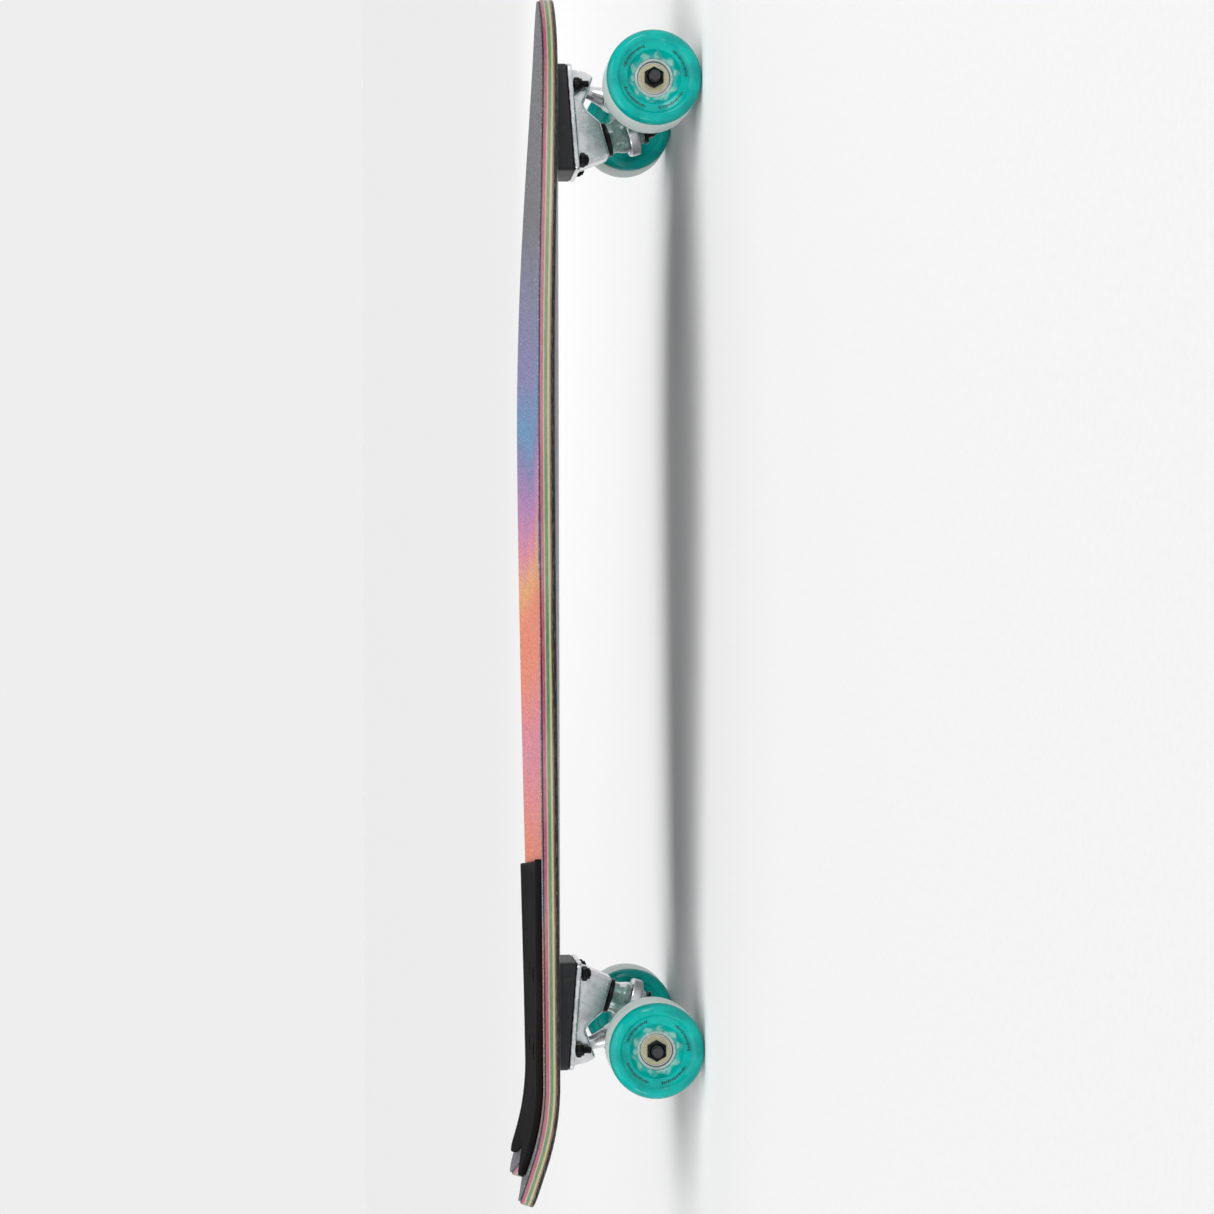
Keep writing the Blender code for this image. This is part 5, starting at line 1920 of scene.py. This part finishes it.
    def make_mounting(self) -> None:
        """Set the four screws and lock nuts that hold the truck on."""
        spots = add(f"{self.name}_bolt_spots", bpy.data.meshes.new("spots"))
        heads = [(x, y, self.head_top) for x, y in self.bolts()]
        seats = [(x, y, self.nut_seat(x) - self.gap) for x, y in self.bolts()]
        for kind, points, draw in (("screw", heads, self.screw), ("nut", seats, self.mounting_nut)):
            spots.data.clear_geometry()
            spots.data.from_pydata([self.place @ Vector(point) for point in points], [], [])
            turn = spots.data.attributes.new("turn", "FLOAT", "POINT")
            turn.data.foreach_set("value", [0.4, 1.3, 2.3, 0.9])
            single = draw()
            places_recipe(f"mounting_{kind}s", BLACK_STEEL, spots).run(single)
            shade(single, 28)
            nodes = self.named(*[f"mounting_{kind}_{number}" for number in range(1, 5)])
            deliver(single, self.board, nodes, BLACK_STEEL)
        bpy.data.objects.remove(spots)

    def screw(self) -> Piece:
        """Draw one mounting screw, hanging from the top of its head, with a hexagonal socket."""
        r, head = self.screw_radius, self.head_radius
        seats = [self.nut_seat(x) for x, _ in self.bolts()]
        reach = self.head_top - (max(seats) + min(seats)) / 2 + self.mount_nut_height + self.screw_tip
        socket = self.screw_socket
        profile = [(0, -0.0016), (0.0020, -0.0016, socket), (0.0020, -0.0001, socket), (0.0023, 0.0),
                   (head - 0.0003, 0.0), (head, -0.0003), (head, -0.0008), (r, 0.0001 - self.head_height),
                   (r - 0.0001, -0.004), (r - 0.0001, 0.0004 - reach), (r - 0.0005, -reach), (0, -reach)]
        screw = make(f"{self.name}_mounting_screws", lathe(profile, sides=48))
        length = self.screw_tip + 0.0016
        thread_recipe("screw_thread", BLACK_STEEL, {
            "Radius": r - 0.0002, "Turns": length / self.screw_pitch, "Length": length,
            "Start": self.gap - reach, "Ridge": 0.00030}).run(screw)
        return screw

    def mounting_nut(self) -> Piece:
        """Draw one mounting lock nut, hanging from its seat."""
        profile = hex_nut(self.mount_nut_flats, self.screw_radius + 0.0001, self.mount_nut_height, 0.0017)
        return make(f"{self.name}_mounting_nuts", lathe(profile, Matrix.Rotation(pi, 4, "X"), 48), 25)

    def make_wheels(self) -> None:
        """Mount the near and the far wheel."""
        for side, way in (("near", -1), ("far", 1)):
            Wheel(f"{self.name}_{side}", way, self.steering).build()

    def build(self) -> None:
        """Build every piece of the truck."""
        self.make_riser()
        self.make_baseplate()
        self.make_pivot_cup()
        self.make_kingpin()
        self.make_washers()
        self.make_bushings()
        self.make_hanger()
        self.make_axle()
        self.make_mounting()
        self.make_wheels()


# ---- studio ---------------------------------------------------------------------------------
@dataclass
class Studio:
    """Pale floor, soft lights and the camera, which lies on its side beside the board."""

    eye: tuple[float, float, float] = (-0.0222, -1.9516, 0.2338)
    yaw: float = radians(0.40)
    pitch: float = radians(5.22)
    roll: float = radians(-0.15)
    lens: float = 81.35

    def make_floor(self) -> None:
        """Lay the floor."""
        bm = bmesh.new()
        bmesh.ops.create_grid(bm, x_segments=2, y_segments=2, size=90.0)
        floor = make("studio_floor", bm)
        floor.data.materials.append(StudioPaper().material())

    def make_world(self) -> None:
        """Fill the room with light that is pale at the walls and dim overhead."""
        world = bpy.data.worlds.new("studio_air")
        bpy.context.scene.world = world
        world.use_nodes = True
        air = Graph(world.node_tree)
        way = air.node("ShaderNodeTexCoord", out="Generated")
        height = Wire(air, air.node("ShaderNodeSeparateXYZ", inputs={0: way}).socket.node.outputs[2])
        greys = ((0.0, 238), (0.20, 238), (0.55, 120), (1.0, 96))
        stops = [(at, rgb(tone, tone, tone)) for at, tone in greys]
        background = world.node_tree.nodes["Background"]
        air.feed(background.inputs["Color"], air.node("ShaderNodeValToRGB", {"stops": stops}, {0: height}))

    def make_lights(self) -> None:
        """Stand the soft boxes round the board and add the even light of the ceiling."""
        boxes = (("key", (1.7, -1.5, 0.40), (0.1, 0.0, 0.06), 0.8, 7.0),
                 ("tail", (-1.9, -1.2, 0.40), (-0.2, 0.0, 0.06), 0.7, 5.0),
                 ("back", (0.6, 1.6, 1.0), (0.0, 0.0, 0.08), 0.9, 3.0))
        for name, place, target, size, power in boxes:
            light = bpy.data.lights.new(f"{name}_box", "AREA")
            light.shape = "RECTANGLE"
            light.size = size
            light.size_y = size * 0.6
            light.energy = power
            lamp = add(f"{name}_box", light)
            lamp.location = place
            lamp.rotation_euler = (Vector(target) - Vector(place)).to_track_quat("-Z", "Y").to_euler()
        sky = bpy.data.lights.new("ceiling", "SUN")
        sky.energy = 2.2
        sky.angle = radians(80)
        lamp = add("ceiling", sky)
        lamp.rotation_euler = (radians(18), radians(-6), 0)

    def make_camera(self) -> None:
        """Set up the camera, rolled so that the nose is at the top."""
        ahead = Vector((sin(self.yaw) * cos(self.pitch), cos(self.yaw) * cos(self.pitch), -sin(self.pitch)))
        right = ahead.cross(Vector((1, 0, 0))).normalized()
        up = right.cross(ahead)
        turned_right = right * cos(self.roll) + up * sin(self.roll)
        turned_up = up * cos(self.roll) - right * sin(self.roll)
        data = bpy.data.cameras.new("camera")
        data.lens = self.lens
        data.sensor_width = 36.0
        camera = add("camera", data)
        turn = Matrix((turned_right, turned_up, -ahead)).transposed()
        camera.matrix_world = Matrix.Translation(self.eye) @ turn.to_4x4()
        bpy.context.scene.camera = camera

    def build(self) -> None:
        """Set up the studio."""
        self.make_camera()
        self.make_floor()
        self.make_world()
        self.make_lights()
        bpy.context.scene.view_settings.view_transform = "Standard"


def main() -> None:
    """Build the skateboard's looks, piece by piece."""
    logging.basicConfig(level=logging.INFO, format="%(message)s")
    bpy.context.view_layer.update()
    Studio().build()
    trucks = [Truck(name) for name in ("front", "rear")]
    deck = Deck()
    bolts = [place for truck in trucks for place in truck.world_bolts()]
    deck.make_board(bolts, trucks[0].head_radius, trucks[0].head_height)
    deck.make_grip(bolts, trucks[0].head_radius)
    deck.make_pad(trucks[1].world_bolts())
    for truck in trucks:
        truck.build()


if __name__ == "__main__":
    main()
